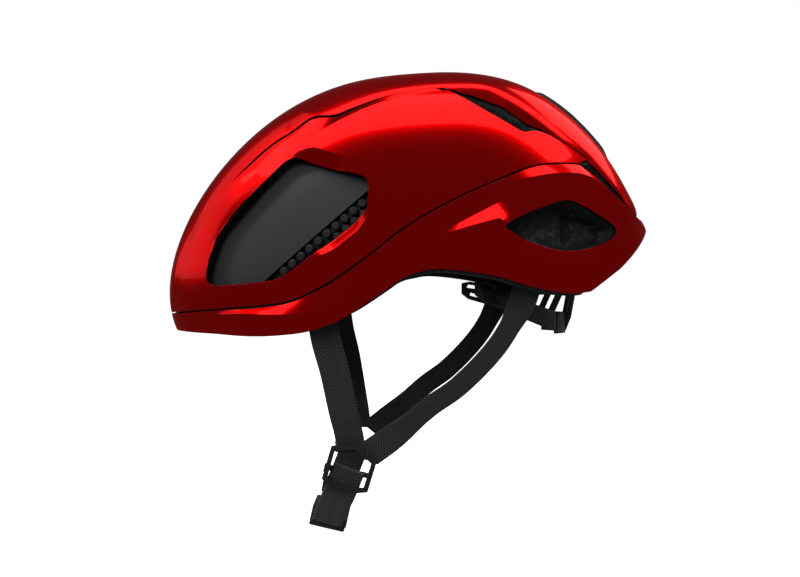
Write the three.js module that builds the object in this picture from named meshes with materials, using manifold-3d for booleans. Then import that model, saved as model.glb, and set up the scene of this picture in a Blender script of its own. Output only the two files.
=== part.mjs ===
// A road-cycling helmet: foam liner, moulded skins, pads, webbing harness with a side-release
// buckle, and a height-adjustable retention cradle tightened by a scroll wheel in the tail.
//
// Millimetres, +Z up. The origin is on the head's axis at headband level. The front of the
// helmet points along -Y, its tail along +Y, and the wearer's left is +X.

import * as THREE from 'three';
import { mergeVertices } from 'three/addons/utils/BufferGeometryUtils.js';
import Module from 'manifold-3d';

const wasm = await Module();
wasm.setup();

// ---- driving dimensions -------------------------------------------------------------------

const GAP = 0.4;                       // space left between touching pieces

// outer skin
const HALF_WIDTH = 104;                // half of the helmet's width
const ROUNDNESS = 2.18;                // exponent of the cross-section, 2 is an ellipse
const HEART = new THREE.Vector3(0, 6, 20);
const MIDPLANE = [                     // outline in the mid-plane, (y, z), from the brow over the top
  [-137, -2], [-132, 27], [-119, 54.5], [-98, 81.5], [-66, 107.5], [-28, 123], [10, 128],
  [45, 128.5], [78, 119], [104, 101], [124, 78], [138, 53], [147, 26], [143, -8], [105, -45],
  [30, -72], [-50, -72], [-112, -48], [-132, -25],
];
const TAIL_NORMAL = new THREE.Vector3(0, 0.7, -0.714).normalize();
const TAIL_POINT = new THREE.Vector3(0, 144, 31);
const TAIL_ROUND = 5;                  // softness of the edge between the skin and the slanted tail
const SKIN_FACETS = 7;                 // subdivision of the skin
const SHELL = 2;                       // wall of the moulded skins

// head space
const HEAD_CENTRE_Y = 4;
const HEAD = { x: 79, y: 104, z: 97 }; // half-axes of the space inside the foam
const HEAD_FACETS = 5;
const HEAD_FLOOR = -70;                // the space runs straight down to here

// webbing and buckle
const WEBBING = { width: 15, thickness: 1.6 };
const CHIN_WEBBING = { width: 17, thickness: 2.4 };
const DIVIDER = new THREE.Vector3(60, -28, -98.6);
const BUCKLE = new THREE.Vector3(0, -42, -135.5);
const BUCKLE_TILT = THREE.MathUtils.degToRad(-13);

// retention system
const BAND = { x: 74, y: 97, centre: 2, thickness: 2.2 };  // ellipse that the cradle follows
const WHEEL = { y: 122, z: 25, radius: 8.5, length: 25, teeth: 18, knurl: 0.7, bore: 1.8 };
const AXLE_RADIUS = 1.5;

// ---- materials ----------------------------------------------------------------------------

const paint = (color, roughness, metalness = 0) =>
  new THREE.MeshStandardMaterial({ color, roughness, metalness });
const FINISH = {
  red: () => paint(0xb00808, 0.22, 0.35),
  foam: () => paint(0x1b1d1c, 0.9),
  black: () => paint(0x1a1a1c, 0.4),
  webbing: () => paint(0x232325, 0.85),
  plastic: () => paint(0x202123, 0.45),
  pad: () => paint(0x2a2a2d, 0.95),
  hook: () => paint(0x101010, 0.9),
  steel: () => paint(0xa8abb0, 0.3, 0.9),
  rubber: () => paint(0x161616, 0.7),
};

// ---- solids -------------------------------------------------------------------------------

/** A closed geometry with only its shared vertices left. */
function bare(geometry) {
  const copy = geometry.clone();
  copy.deleteAttribute('normal');
  copy.deleteAttribute('uv');
  return mergeVertices(copy, 1e-3);
}

function solid(geometry) {
  const closed = bare(geometry);
  return new wasm.Manifold(new wasm.Mesh({
    numProp: 3,
    vertProperties: new Float32Array(closed.attributes.position.array),
    triVerts: new Uint32Array(closed.index.array),
  }));
}

function geometryOf(manifold) {
  const mesh = manifold.getMesh();
  const geometry = new THREE.BufferGeometry();
  geometry.setAttribute('position', new THREE.BufferAttribute(mesh.vertProperties, 3));
  geometry.setIndex(new THREE.BufferAttribute(mesh.triVerts, 1));
  return geometry;
}

/** The same shape on the other side of the mid-plane. */
function mirrored(geometry) {
  const copy = bare(geometry);
  copy.scale(-1, 1, 1);
  const index = copy.index.array;
  for (let i = 0; i < index.length; i += 3) {
    [index[i], index[i + 1]] = [index[i + 1], index[i]];
  }
  return copy;
}

const mirroredSolid = (manifold) => solid(mirrored(geometryOf(manifold)));
const bothSides = (manifold) => manifold.add(mirroredSolid(manifold));

function box(low, high) {
  const size = high.map((value, i) => value - low[i]);
  const geometry = new THREE.BoxGeometry(...size);
  geometry.translate(...low.map((value, i) => value + size[i] / 2));
  return solid(geometry);
}

const shapeOf = (points) => new THREE.Shape(points.map(([a, b]) => new THREE.Vector2(a, b)));

/** A side-view outline (y, z), swept along X. */
function sidePrism(points, fromX, toX) {
  const shape = points instanceof THREE.Shape ? points : shapeOf(points);
  const geometry = new THREE.ExtrudeGeometry(shape, { depth: toX - fromX, bevelEnabled: false });
  geometry.applyMatrix4(new THREE.Matrix4().set(0, 0, 1, fromX, 1, 0, 0, 0, 0, 1, 0, 0, 0, 0, 0, 1));
  return solid(geometry);
}

/** A top-view outline (x, y), swept along Z. */
function topPrism(points, fromZ, toZ) {
  const geometry = new THREE.ExtrudeGeometry(shapeOf(points), {
    depth: toZ - fromZ,
    bevelEnabled: false,
  });
  geometry.translate(0, 0, fromZ);
  return solid(geometry);
}

/** A round bar along X. */
function barAlongX(radius, fromX, toX, y, z, sides = 14) {
  const geometry = new THREE.CylinderGeometry(radius, radius, toX - fromX, sides);
  geometry.rotateZ(Math.PI / 2);
  geometry.translate((fromX + toX) / 2, y, z);
  return solid(geometry);
}

/**
 * A flat strap along a curve, or along the part of it between two shares of its length.
 * acrossAt gives the direction of its width for a tangent, and lift moves it off the curve.
 */
function ribbon(points, { width, thickness }, acrossAt, { steps = 12, from = 0, to = 1, lift = 0 } = {}) {
  const curve = new THREE.CatmullRomCurve3(points.map((point) => new THREE.Vector3(...point)));
  const vertices = [];
  for (let step = 0; step <= steps; step += 1) {
    const share = THREE.MathUtils.lerp(from, to, step / steps);
    const centre = curve.getPointAt(share);
    const tangent = curve.getTangentAt(share);
    const across = acrossAt(tangent);
    across.addScaledVector(tangent, -across.dot(tangent)).normalize();
    const face = new THREE.Vector3().crossVectors(across, tangent);
    centre.addScaledVector(face, lift);
    for (const [a, b] of [[-1, -1], [1, -1], [1, 1], [-1, 1]]) {
      const corner = centre.clone().addScaledVector(across, (a * width) / 2);
      corner.addScaledVector(face, (b * thickness) / 2);
      vertices.push(corner.x, corner.y, corner.z);
    }
  }
  const triangles = [0, 1, 2, 0, 2, 3];
  for (let step = 0; step < steps; step += 1) {
    for (let side = 0; side < 4; side += 1) {
      const a = 4 * step + side;
      const b = 4 * step + ((side + 1) % 4);
      triangles.push(a, a + 4, b, b, a + 4, b + 4);
    }
  }
  const end = 4 * steps;
  triangles.push(end, end + 2, end + 1, end, end + 3, end + 2);
  const geometry = new THREE.BufferGeometry();
  geometry.setAttribute('position', new THREE.Float32BufferAttribute(vertices, 3));
  geometry.setIndex(triangles);
  return geometry;
}

// ---- outer skin ---------------------------------------------------------------------------

/** Distance from HEART to the mid-plane outline, by angle. */
const midplaneRays = (() => {
  const points = MIDPLANE.map(([y, z]) => new THREE.Vector3(0, y, z));
  const outline = new THREE.CatmullRomCurve3(points, true).getSpacedPoints(360);
  const rays = outline.slice(0, -1).map((point) => {
    const arm = point.sub(HEART);
    return { angle: Math.atan2(arm.z, arm.y), reach: Math.hypot(arm.y, arm.z) };
  });
  rays.sort((a, b) => a.angle - b.angle);
  const turn = 2 * Math.PI;
  const first = { angle: rays[0].angle + turn, reach: rays[0].reach };
  const last = { angle: rays[rays.length - 1].angle - turn, reach: rays[rays.length - 1].reach };
  return [last, ...rays, first];
})();

function midplaneReach(angle) {
  const next = midplaneRays.findIndex((ray) => ray.angle >= angle);
  const a = midplaneRays[Math.max(next, 1) - 1];
  const b = midplaneRays[Math.max(next, 1)];
  return THREE.MathUtils.mapLinear(angle, a.angle, b.angle, a.reach, b.reach);
}

const softMin = (a, b, softness) => a - softness * Math.log(1 + Math.exp((a - b) / softness));

/** The point of the outer skin in a direction from HEART. */
function skinPoint(direction) {
  const reach = midplaneReach(Math.atan2(direction.z, direction.y));
  const inPlane = Math.hypot(direction.y, direction.z) / reach;
  const sideways = Math.abs(direction.x) / HALF_WIDTH;
  let distance = (inPlane ** ROUNDNESS + sideways ** ROUNDNESS) ** (-1 / ROUNDNESS);
  const facing = direction.dot(TAIL_NORMAL);
  if (facing > 0.02) {
    const tail = TAIL_POINT.clone().sub(HEART).dot(TAIL_NORMAL) / facing;
    distance = softMin(distance, tail, TAIL_ROUND);
  }
  return HEART.clone().addScaledVector(direction, distance);
}

function skinNormal(direction) {
  const step = 0.01;
  const helper = Math.abs(direction.x) < 0.7 ? new THREE.Vector3(1, 0, 0) : new THREE.Vector3(0, 1, 0);
  const u = new THREE.Vector3().crossVectors(direction, helper).normalize();
  const v = new THREE.Vector3().crossVectors(direction, u);
  const edge = (axis, sign) => skinPoint(direction.clone().addScaledVector(axis, sign * step).normalize());
  const alongU = edge(u, 1).sub(edge(u, -1));
  const alongV = edge(v, 1).sub(edge(v, -1));
  return alongU.cross(alongV).normalize();
}

const skinDirections = bare(new THREE.IcosahedronGeometry(1, SKIN_FACETS));

/** The body inside the outer skin, drawn in by a depth. */
function skin(depth) {
  const geometry = skinDirections.clone();
  const position = geometry.attributes.position;
  for (let i = 0; i < position.count; i += 1) {
    const direction = new THREE.Vector3().fromBufferAttribute(position, i).normalize();
    const point = skinPoint(direction).addScaledVector(skinNormal(direction), -depth);
    position.setXYZ(i, point.x, point.y, point.z);
  }
  return solid(geometry);
}

const layer = (fromDepth, toDepth) => skin(fromDepth).subtract(skin(toDepth));

// ---- head space ---------------------------------------------------------------------------

const headDirections = bare(new THREE.IcosahedronGeometry(1, HEAD_FACETS));

/** The head space, drawn in by a depth. */
function head(depth) {
  const geometry = headDirections.clone();
  const position = geometry.attributes.position;
  const half = { x: HEAD.x - depth, y: HEAD.y - depth, z: HEAD.z - depth };
  for (let i = 0; i < position.count; i += 1) {
    const d = new THREE.Vector3().fromBufferAttribute(position, i).normalize();
    const wall = Math.hypot(d.x / half.x, d.y / half.y);
    const down = d.z < 0 ? Math.max(wall, d.z / HEAD_FLOOR) : Math.hypot(wall, d.z / half.z);
    position.setXYZ(i, d.x / down, HEAD_CENTRE_Y + d.y / down, d.z / down);
  }
  return solid(geometry);
}

const headLayer = (fromDepth, toDepth) => head(fromDepth).subtract(head(toDepth));

// ---- side-view outlines, (y, z) -----------------------------------------------------------

const RIM = [
  [-150, 1], [-138, -16], [-132, -24.5], [-106, -24.6], [-52, -22], [-36, -17.3], [-26, -12.5],
  [-10, -2.5], [1, 5], [10, 8.5], [19, 10], [33, 9], [51, 6], [70, 0.3], [90, -3.2], [104, -2.5],
];
const LINER_RIM = [
  [-150, 3], [-138, -14], [-132, -23], [-106, -23], [-52, -20.5], [-36, -16], [-26, -11.5],
  [-10, -2], [1, 4.6], [10, 7], [19, 8], [33, 6.6], [51, 3.4], [70, -2.4], [90, -5.6], [104, -4],
];
const SEAM = [
  [-150, -14], [-131, -14], [-100, -11.5], [-73, -9.3], [-58, -7], [-47, -2.6], [-34.6, 4],
  [-20.5, 13.7], [-11, 20.7], [0, 29.5], [16, 39.4], [34, 48.8], [52, 57], [66, 63], [76, 65.7],
  [86, 67], [97, 67.4],
];
const LOWER_SLOT_TOP = [[105, 69.3], [116, 59.5], [124.7, 52], [131.7, 43.6], [142, 43], [160, 43]];
const LOWER_SLOT_BOTTOM = [[111.4, 57.4], [122, 48.6], [133.5, 41.6], [142, 40], [160, 40]];
const SPINE_EDGE = [
  [-150, -14], [-131, -14], [-127.5, -4], [-121.7, 13.7], [-115.4, 33.2], [-103.3, 48.9],
  [-88.7, 65], [-73.7, 78.6], [-58.7, 88], [-47.2, 94], [-35.4, 93.7], [-9.6, 105], [6.8, 109.2],
  [22.3, 111], [40, 112.2], [47.3, 111.8], [53.6, 109.3], [61, 103.2], [71.4, 94.9], [82, 86.3],
  [93, 78], [104.4, 70.4],
];
const FRONT_VENT = [
  [-106, 9], [-101, 1.5], [-84.5, 2], [-64, 5], [-58.4, 8.2], [-39.3, 20.3], [-22.4, 33.3],
  [-17.3, 39], [-16.4, 56], [-19, 58], [-30, 62], [-44, 67.5], [-56, 70.3], [-60, 68],
  [-73.7, 56], [-86.7, 43.6], [-97, 32], [-102, 21.3],
];
const UPPER_SLOT = [
  [26, 109], [40, 111.6], [47, 111.2], [53.6, 108.7], [61, 102.6], [71, 94.4], [67, 84.5],
  [56, 89.7], [46, 95.9], [39, 100.5], [32, 105],
];
const SIDE_VENT = [
  [54.5, 32.3], [59, 35.6], [70.4, 41.1], [84.6, 46.4], [90.2, 46.2], [98.2, 42.8], [110.7, 36.1],
  [115, 32.8], [115.7, 29.8], [113.8, 26.6], [105.9, 22.6], [95.8, 19.8], [86.3, 20], [77.7, 21.3],
  [66.3, 25.2], [56, 29.8],
];
const REAR_COVER = [[-17, 77], [17, 77], [25, 98], [20, 124], [-20, 124], [-25, 98]];  // (x, y)
const VENT_DIAGONAL = [[-80, -2], [-14, 52]];   // edge of the smooth duct panel in the front vent

/** An outline drawn in towards its middle by about a gap. */
function drawnIn(points, gap) {
  const middle = points.reduce(([a, b], [c, d]) => [a + c / points.length, b + d / points.length], [0, 0]);
  return points.map(([a, b]) => {
    const arm = Math.hypot(a - middle[0], b - middle[1]);
    const keep = 1 - (1.6 * gap) / arm;
    return [middle[0] + keep * (a - middle[0]), middle[1] + keep * (b - middle[1])];
  });
}

const above = (line, lift = 0) => [
  ...line.map(([y, z]) => [y, z + lift]), [170, 170], [-170, 170], [-170, line[0][1] + lift],
];
const below = (line, drop = 0) => [
  ...line.map(([y, z]) => [y, z - drop]), [170, line[line.length - 1][1] - drop], [170, -170],
  [-170, -170], [-170, line[0][1] - drop],
];
const across = (points) => sidePrism(points, -120, 120);
const leftOf = (points, fromX = 20) => sidePrism(points, fromX, 120);

// ---- skins --------------------------------------------------------------------------------

const shell = layer(0, SHELL).subtract(across(below(RIM)));
const frontVents = bothSides(leftOf(FRONT_VENT, 45));
const upperSlots = bothSides(leftOf(UPPER_SLOT, 30));
const sideVents = bothSides(leftOf(SIDE_VENT, 20));

/** The window that the thumb reaches the scroll wheel through. */
function wheelWindow(halfWidth, halfHeight, inward) {
  const geometry = new THREE.BoxGeometry(2 * halfWidth, 2 * halfHeight, 30 + inward);
  geometry.translate(0, 0, (30 - inward) / 2);
  geometry.applyQuaternion(
    new THREE.Quaternion().setFromUnitVectors(new THREE.Vector3(0, 0, 1), TAIL_NORMAL),
  );
  geometry.translate(0, WHEEL.y, WHEEL.z);
  return solid(geometry);
}

const rearCoverHole = topPrism(REAR_COVER, 60, 140);
const spineTop = across(above([...SPINE_EDGE, ...LOWER_SLOT_TOP], GAP / 2));
const spineCover = shell.intersect(spineTop).subtract(rearCoverHole);
const rearCover = shell.intersect(topPrism(drawnIn(REAR_COVER, GAP), 60, 140));
const sidePanel = shell
  .intersect(across(above([...SEAM, [105, 67.6], [160, 67.6]], GAP / 2)))
  .subtract(across(above([...SPINE_EDGE, ...LOWER_SLOT_TOP], -GAP / 2)))
  .subtract(frontVents)
  .subtract(upperSlots)
  .intersect(box([0, -170, -100], [120, 170, 170]));
const lowerShell = shell
  .intersect(across(below([...SEAM, ...LOWER_SLOT_BOTTOM], GAP / 2)))
  .subtract(sideVents)
  .subtract(wheelWindow(15, 11, 0));

// ---- liner --------------------------------------------------------------------------------

const FRONT_RECESS = 17;               // depth of the pocket behind each front vent
const SIDE_RECESS = 13;
const SLOT_RECESS = 15;
const DUCT = [[-58, 14], [-30, 35], [-24, 42], [-33, 43], [-62, 21]];    // way into the head space
const SIDE_DUCT = {                    // the way in from each side vent turns forward half way
  outer: { from: 62, to: 120, outline: [[86, 24.5], [104, 27], [104, 35], [86, 40]] },
  middle: { from: 62, to: 70, outline: [[68, 27], [84, 24.5], [104, 27], [104, 35], [84, 40], [68, 37]] },
  inner: { from: 20, to: 70, outline: [[68, 27], [84, 24.5], [84, 40], [68, 37]] },
};
const ANCHOR = { thick: 8, wide: 18, tall: 7 };
const FRONT_ANCHOR = [84, -41, -10.5];
const REAR_ANCHOR = [75, 69, 7.5];
const RACK = { halfWidth: 21, back: 107.6, front: 105.2, bottom: 2, top: 38 };
const BELT = { front: 108.4, back: 111.2, tall: 4, reach: 44, leg: 4 };

const sideDuct = Object.values(SIDE_DUCT)
  .map(({ outline, from, to }) => sidePrism(outline, from, to))
  .reduce((duct, stretch) => duct.add(stretch));
const belowLiner = across(below([...LINER_RIM, [125, -4]]));
const outsideOf = (depth) => skin(-6).subtract(skin(depth));

function anchorBox([x, y, z], grow, drop) {
  return box(
    [x - ANCHOR.thick / 2 - grow, y - ANCHOR.wide / 2 - grow, z - ANCHOR.tall / 2 - drop],
    [x + ANCHOR.thick / 2 + grow, y + ANCHOR.wide / 2 + grow, z + ANCHOR.tall / 2 + grow],
  );
}

const slotTrench = across([
  [96, 68.4], [105, 69.3], [116, 59.5], [131.7, 43.6], [140, 43], [140, 40.4], [133.5, 41.6],
  [122, 48.6], [111.4, 57.4], [97, 67],
]);
const beltChannel = bothSides(
  box([-1, BELT.front - 0.8, 18], [54, BELT.back + 0.8, 32])
    .add(box([30, 70, 18], [54, BELT.back + 0.8, 32])),
);
const liner = skin(SHELL + GAP)
  .subtract(head(0))
  .subtract(belowLiner)
  .subtract(frontVents.subtract(skin(FRONT_RECESS)))
  .subtract(bothSides(leftOf(DUCT, 40)))
  .subtract(upperSlots)
  .subtract(sideVents.subtract(skin(SIDE_RECESS)))
  .subtract(bothSides(sideDuct))
  .subtract(slotTrench.intersect(outsideOf(SLOT_RECESS)))
  .subtract(bothSides(anchorBox(FRONT_ANCHOR, GAP, 20)))
  .subtract(bothSides(anchorBox(REAR_ANCHOR, GAP, 20)))
  .subtract(box(
    [-RACK.halfWidth - GAP, 60, -20],
    [RACK.halfWidth + GAP, RACK.back + GAP, RACK.top + GAP],
  ))
  .subtract(beltChannel)
  .subtract(barAlongX(WHEEL.radius + 2.2, -17, 17, WHEEL.y, WHEEL.z))
  .subtract(box([-15, BELT.back, 19], [15, WHEEL.y, 31]))
  .subtract(wheelWindow(17, 11, 0));

// ---- front ducts --------------------------------------------------------------------------

const PANEL_DEPTH = 8;
const BLOCK = { radius: 2.5, pitch: 6.4, top: 9.5, floor: 14.4, bottom: 16.4 };

const ventInside = drawnIn(FRONT_VENT, 2 * GAP);
const [diagonalStart, diagonalEnd] = VENT_DIAGONAL;
const upperSide = [diagonalStart, diagonalEnd, [-14, 120], [-160, 120], [-160, -2]];
const ductPanel = layer(PANEL_DEPTH, PANEL_DEPTH + SHELL)
  .intersect(leftOf(ventInside, 45))
  .intersect(leftOf(upperSide, 45));

/** Crumple blocks in staggered rows along the vent's lower edge, on one backing strip. */
function blockStrip() {
  const along = new THREE.Vector2(
    diagonalEnd[0] - diagonalStart[0],
    diagonalEnd[1] - diagonalStart[1],
  ).normalize();
  const down = new THREE.Vector2(along.y, -along.x);
  const strip = leftOf(drawnIn(FRONT_VENT, 3 * GAP), 45)
    .subtract(leftOf([[-80, 1.5], [-14, 55.5], [-14, 120], [-160, 120], [-160, 1.5]], 40))
    .subtract(leftOf(DUCT, 40));
  let body = layer(BLOCK.floor, BLOCK.bottom).intersect(strip);
  const pegLayer = layer(BLOCK.top, BLOCK.floor + 1);
  for (let row = 0; row < 3; row += 1) {
    for (let place = 0; place < 9; place += 1) {
      const centre = new THREE.Vector2(-66, 3)
        .addScaledVector(along, (place + (row % 2) / 2) * BLOCK.pitch)
        .addScaledVector(down, row * BLOCK.pitch * 0.8);
      const corners = Array.from({ length: 6 }, (_, i) => {
        const angle = (i * Math.PI) / 3;
        return [centre.x + BLOCK.radius * Math.cos(angle), centre.y + BLOCK.radius * Math.sin(angle)];
      });
      const peg = leftOf(corners, 45).intersect(pegLayer);
      const kept = peg.intersect(strip);
      if (kept.volume() > 0.98 * peg.volume()) body = body.add(peg);
    }
  }
  return body;
}

// ---- pads ---------------------------------------------------------------------------------

const PAD = { from: 2.4, to: 7.4 };
const HOOK = { from: 0.4, to: 1.2 };
const padLayer = headLayer(PAD.from, PAD.to);
const hookLayer = headLayer(HOOK.from, HOOK.to);
const PAD_PLACES = {
  brow: topPrism([[-62, -110], [62, -110], [62, -55], [-62, -55]], -17, 17),
  crown: topPrism([[-13, -62], [13, -62], [16, 0], [13, 52], [-13, 52], [-16, 0]], 40, 120),
  side: sidePrism([[-26, 20], [34, 24], [30, 50], [-18, 46]], 20, 100),
};
const HOOK_PLACES = {
  brow: topPrism([[-22, -110], [22, -110], [22, -80], [-22, -80]], 6, 15),
  crown: topPrism([[-8, -20], [8, -20], [8, 20], [-8, 20]], 60, 120),
  side: sidePrism([[-8, 28], [18, 30], [16, 42], [-6, 40]], 20, 100),
};

// ---- harness ------------------------------------------------------------------------------

const FRONT_STRAP = [
  [84, -41, -15.4], [82, -39, -28], [77, -35, -44], [68, -30.5, -68], [59.5, -30.6, -80],
  [56.4, -30.8, -86], [56.4, -31, -90.4],
];
const REAR_STRAP = [
  [74.8, 68.2, 1.2], [74, 65.4, -7.6], [72, 52.8, -30.4], [70, 31.9, -52.7], [68, 16.8, -63.7],
  [64, 0, -78.2], [57, -17, -91.2],
];
const CHIN_STRAP = [
  [57, -29.4, -99.4], [56.6, -32, -107.5], [53, -34.6, -115], [45, -37, -121.4],
  [27.9, -42, -134.8],
];
const LOOSE_END = { width: 15, thickness: 1.4, lift: -3.2, from: 0.36, to: 0.97 };
const KEEPER = { width: 21, thickness: 10, wall: 1.4, from: 0.66, to: 0.76 };
const yAcross = () => new THREE.Vector3(0, 1, 0);
const buckleAcross = () => new THREE.Vector3(0, Math.cos(BUCKLE_TILT), Math.sin(BUCKLE_TILT));
const flatToSide = (tangent) => new THREE.Vector3().crossVectors(tangent, new THREE.Vector3(-1, 0, 0));

const looseEnd = ribbon(CHIN_STRAP, LOOSE_END, buckleAcross, { ...LOOSE_END, steps: 8 });

/** The rubber loop that holds the loose end to the chin strap. */
function keeper() {
  const { width, thickness, wall, from, to } = KEEPER;
  const sleeve = (section, grow) => solid(ribbon(CHIN_STRAP, section, buckleAcross, {
    steps: 2,
    from: from - grow,
    to: to + grow,
    lift: LOOSE_END.lift / 2,
  }));
  const hollow = { width: width - 2 * wall, thickness: thickness - 2 * wall };
  return sleeve({ width, thickness }, 0).subtract(sleeve(hollow, 0.02));
}

/** The open frame that joins the front and rear webbing below the ear. */
function divider() {
  const outline = [[-9.7, 12.1], [3.8, 13.6], [15.4, 3.8], [10.2, -13.2], [4.4, -13.7], [-12.4, -8.8], [-15, -5.7]];
  const frame = shapeOf(outline);
  frame.holes.push(new THREE.Path(drawnIn(outline, 1.9).reverse().map(([y, z]) => new THREE.Vector2(y, z))));
  const lip = shapeOf(drawnIn(outline, 1.3));
  lip.holes.push(new THREE.Path(drawnIn(outline, 2.1).reverse().map(([y, z]) => new THREE.Vector2(y, z))));
  const ring = sidePrism(frame, -1.4, 1.2).add(sidePrism(lip, 1, 1.9));
  const post = (points) => sidePrism(points, -7.4, -1.2);
  const posts = post([[-13.4, 1.6], [-10.9, 2.4], [-12.2, -2.6], [-14.5, -2]])
    .add(post([[12.6, -2], [13.6, -1.8], [12, -7], [11.1, -6]]));
  const bar = sidePrism([[-13.8, 1.4], [13, -4.4], [12.2, -7], [-14.3, -1.6]], -7.4, -5);
  return ring.add(posts).add(bar).translate(DIVIDER.toArray());
}

// ---- buckle, built level and then tilted --------------------------------------------------

const SOCKET = { from: -26, to: 10, halfWidth: 11, halfHeight: 4.6 };
const PLUG = { from: 10.5, to: 26, halfWidth: 10.4, halfHeight: 3.6 };
const PRONG = { tip: -7, root: 10.1, inner: 5, outer: 7.6, halfHeight: 1.9, pivot: 9 };
const STRAP_SLOT = { halfWidth: 8.6 };

const socket = box(
  [SOCKET.from, -SOCKET.halfWidth, -SOCKET.halfHeight],
  [SOCKET.to, SOCKET.halfWidth, SOCKET.halfHeight],
)
  .subtract(box([-10, -9.2, -2.7], [SOCKET.to + 1, 9.2, 2.7]))
  .subtract(box([-6, -12, -2.2], [4, 12, 2.2]))
  .subtract(box([-19, -STRAP_SLOT.halfWidth, -9], [-16, STRAP_SLOT.halfWidth, 9]))
  .subtract(box([-24, -STRAP_SLOT.halfWidth, -9], [-21.5, STRAP_SLOT.halfWidth, 9]));
const plug = box(
  [PLUG.from, -PLUG.halfWidth, -PLUG.halfHeight],
  [PLUG.to, PLUG.halfWidth, PLUG.halfHeight],
)
  .add(box([-8, -2.4, -1.7], [11, 2.4, 1.7]))
  .subtract(box([16, -STRAP_SLOT.halfWidth, -9], [19, STRAP_SLOT.halfWidth, 9]))
  .subtract(box([21.5, -STRAP_SLOT.halfWidth, -9], [23.8, STRAP_SLOT.halfWidth, 9]));
const prong = topPrism(
  [
    [PRONG.root, PRONG.inner], [PRONG.root, PRONG.outer], [2, PRONG.outer], [0.6, 9], [-4, 9],
    [PRONG.tip, PRONG.inner + 1.4], [PRONG.tip, PRONG.inner],
  ],
  -PRONG.halfHeight,
  PRONG.halfHeight,
);

// ---- retention cradle ---------------------------------------------------------------------

const bandPoint = (angle, shrink) => [
  (BAND.x - shrink) * Math.sin(angle),
  BAND.centre + (BAND.y - shrink) * Math.cos(angle),
];

/** A strip of the retention ellipse between two angles from the back, as a top view. */
function bandStrip(from, to, outer, inner, steps = 12) {
  const at = (shrink, a, b) => Array.from({ length: steps + 1 }, (_, i) =>
    bandPoint(THREE.MathUtils.degToRad(a + ((b - a) * i) / steps), shrink));
  return [...at(outer, from, to), ...at(inner, to, from)].reverse();
}

const rib = (points, fromX, toX) => sidePrism(points, fromX, toX);
const centreRib = [
  [95.4, -25.6], [98.2, -25], [101.4, -17], [103.6, -5], [103.9, 28], [101.5, 28], [101.1, -5],
  [99, -16], [95.2, -22],
];
const sideRib = [[84.6, -16], [88, -17], [94.2, -3], [96.4, 6], [93, 6], [90.6, -3]];
const cradleFrame = topPrism(bandStrip(-24, 24, 0, BAND.thickness), -26, -14)
  .add(rib(centreRib, 6, 11))
  .add(rib(centreRib, -11, -6))
  .add(topPrism(bandStrip(-17, 17, 2.2, 0.4), -26, -20))
  .add(bothSides(rib(sideRib, 22, 27)))
  .add(topPrism(bandStrip(-21, 21, 2.8, 5.2), 3, 6).subtract(box([-6, 60, 0], [6, 120, 10])))
  .add(box([-27, 92.4, 3], [-6, 95.6, 6]))
  .add(box([6, 92.4, 3], [27, 95.6, 6]))
  .add(box([-11, 92.4, 3], [-6, 103, 6]))
  .add(box([6, 92.4, 3], [11, 103, 6]));

/** One arm of the cradle, rising towards its front end, with two slots for the webbing guide. */
function cradleArm() {
  const strip = topPrism(bandStrip(25.4, 66, 0, BAND.thickness, 14), -30, 10);
  const side = [[92, -25], [92, -14], [70, -7], [58, 2.4], [46, 4.6], [40.6, 3.6], [40, -3], [45, -7], [62, -12]];
  const slot = (points) => leftOf(points, 10);
  return strip
    .intersect(leftOf(side, 10))
    .subtract(slot([[44, 0.6], [52, -0.6], [52, 1.4], [45, 2.6]]))
    .subtract(slot([[46, -4.6], [54, -6.6], [54, -4.8], [46.4, -2.8]]))
    .subtract(slot([[62, -8.8], [72, -13.4], [72, -11.4], [62, -6.8]]));
}

const cradlePad = topPrism(bandStrip(-15, 15, 4, 8), -24.4, -13);
const frontBandStrip = (from, to) => {
  const ring = (depth, a, b) => Array.from({ length: 25 }, (_, i) => {
    const angle = THREE.MathUtils.degToRad(a + ((b - a) * i) / 24);
    return [(HEAD.x - depth) * Math.sin(angle), HEAD_CENTRE_Y + (HEAD.y - depth) * Math.cos(angle)];
  });
  return [...ring(1, from, to), ...ring(2, to, from)].reverse();
};
const frontBand = topPrism(frontBandStrip(113, 247), -8, 2);
const bandRivet = barAlongX(2.4, 64.6, 67.8, -42, -3, 12);

const rack = box([-RACK.halfWidth, RACK.front, RACK.bottom], [RACK.halfWidth, RACK.back, RACK.top])
  .add(bothSides(box([12, 101.4, 6], [15, RACK.front + 1, 34])))
  .add(box([-4, 103.2, 8], [4, RACK.front + 1, 9.6]))
  .add(box([-4, 103.2, 15], [4, RACK.front + 1, 16.6]))
  .add(box([-4, 103.2, 22], [4, RACK.front + 1, 23.6]));
const rackScrew = (x) => {
  const cap = new THREE.CylinderGeometry(2.6, 2.6, 1.6, 12);
  cap.translate(x, RACK.front - 1.2, 30);
  return cap;
};

// ---- scroll mechanism ---------------------------------------------------------------------

function scrollWheel() {
  const outline = Array.from({ length: 2 * WHEEL.teeth }, (_, i) => {
    const angle = (i * Math.PI) / WHEEL.teeth;
    const radius = WHEEL.radius - (i % 2) * WHEEL.knurl;
    return [radius * Math.cos(angle), radius * Math.sin(angle)];
  });
  const shape = shapeOf(outline);
  const bore = new THREE.Path();
  bore.absarc(0, 0, WHEEL.bore, 0, 2 * Math.PI, true);
  shape.holes.push(bore);
  return sidePrism(shape, -WHEEL.length / 2, WHEEL.length / 2).translate([0, WHEEL.y, WHEEL.z]);
}

const bracketPlate = [[112.2, 19.4], [128, 19.4], [128, 29], [112.2, 31]];
const scrollBracket = sidePrism(bracketPlate, 13.2, 14.8)
  .add(sidePrism(bracketPlate, -14.8, -13.2))
  .add(box([-14.8, 112, 19.4], [14.8, 112.9, 31]))
  .subtract(barAlongX(AXLE_RADIUS + 0.1, -20, 20, WHEEL.y, WHEEL.z));

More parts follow.
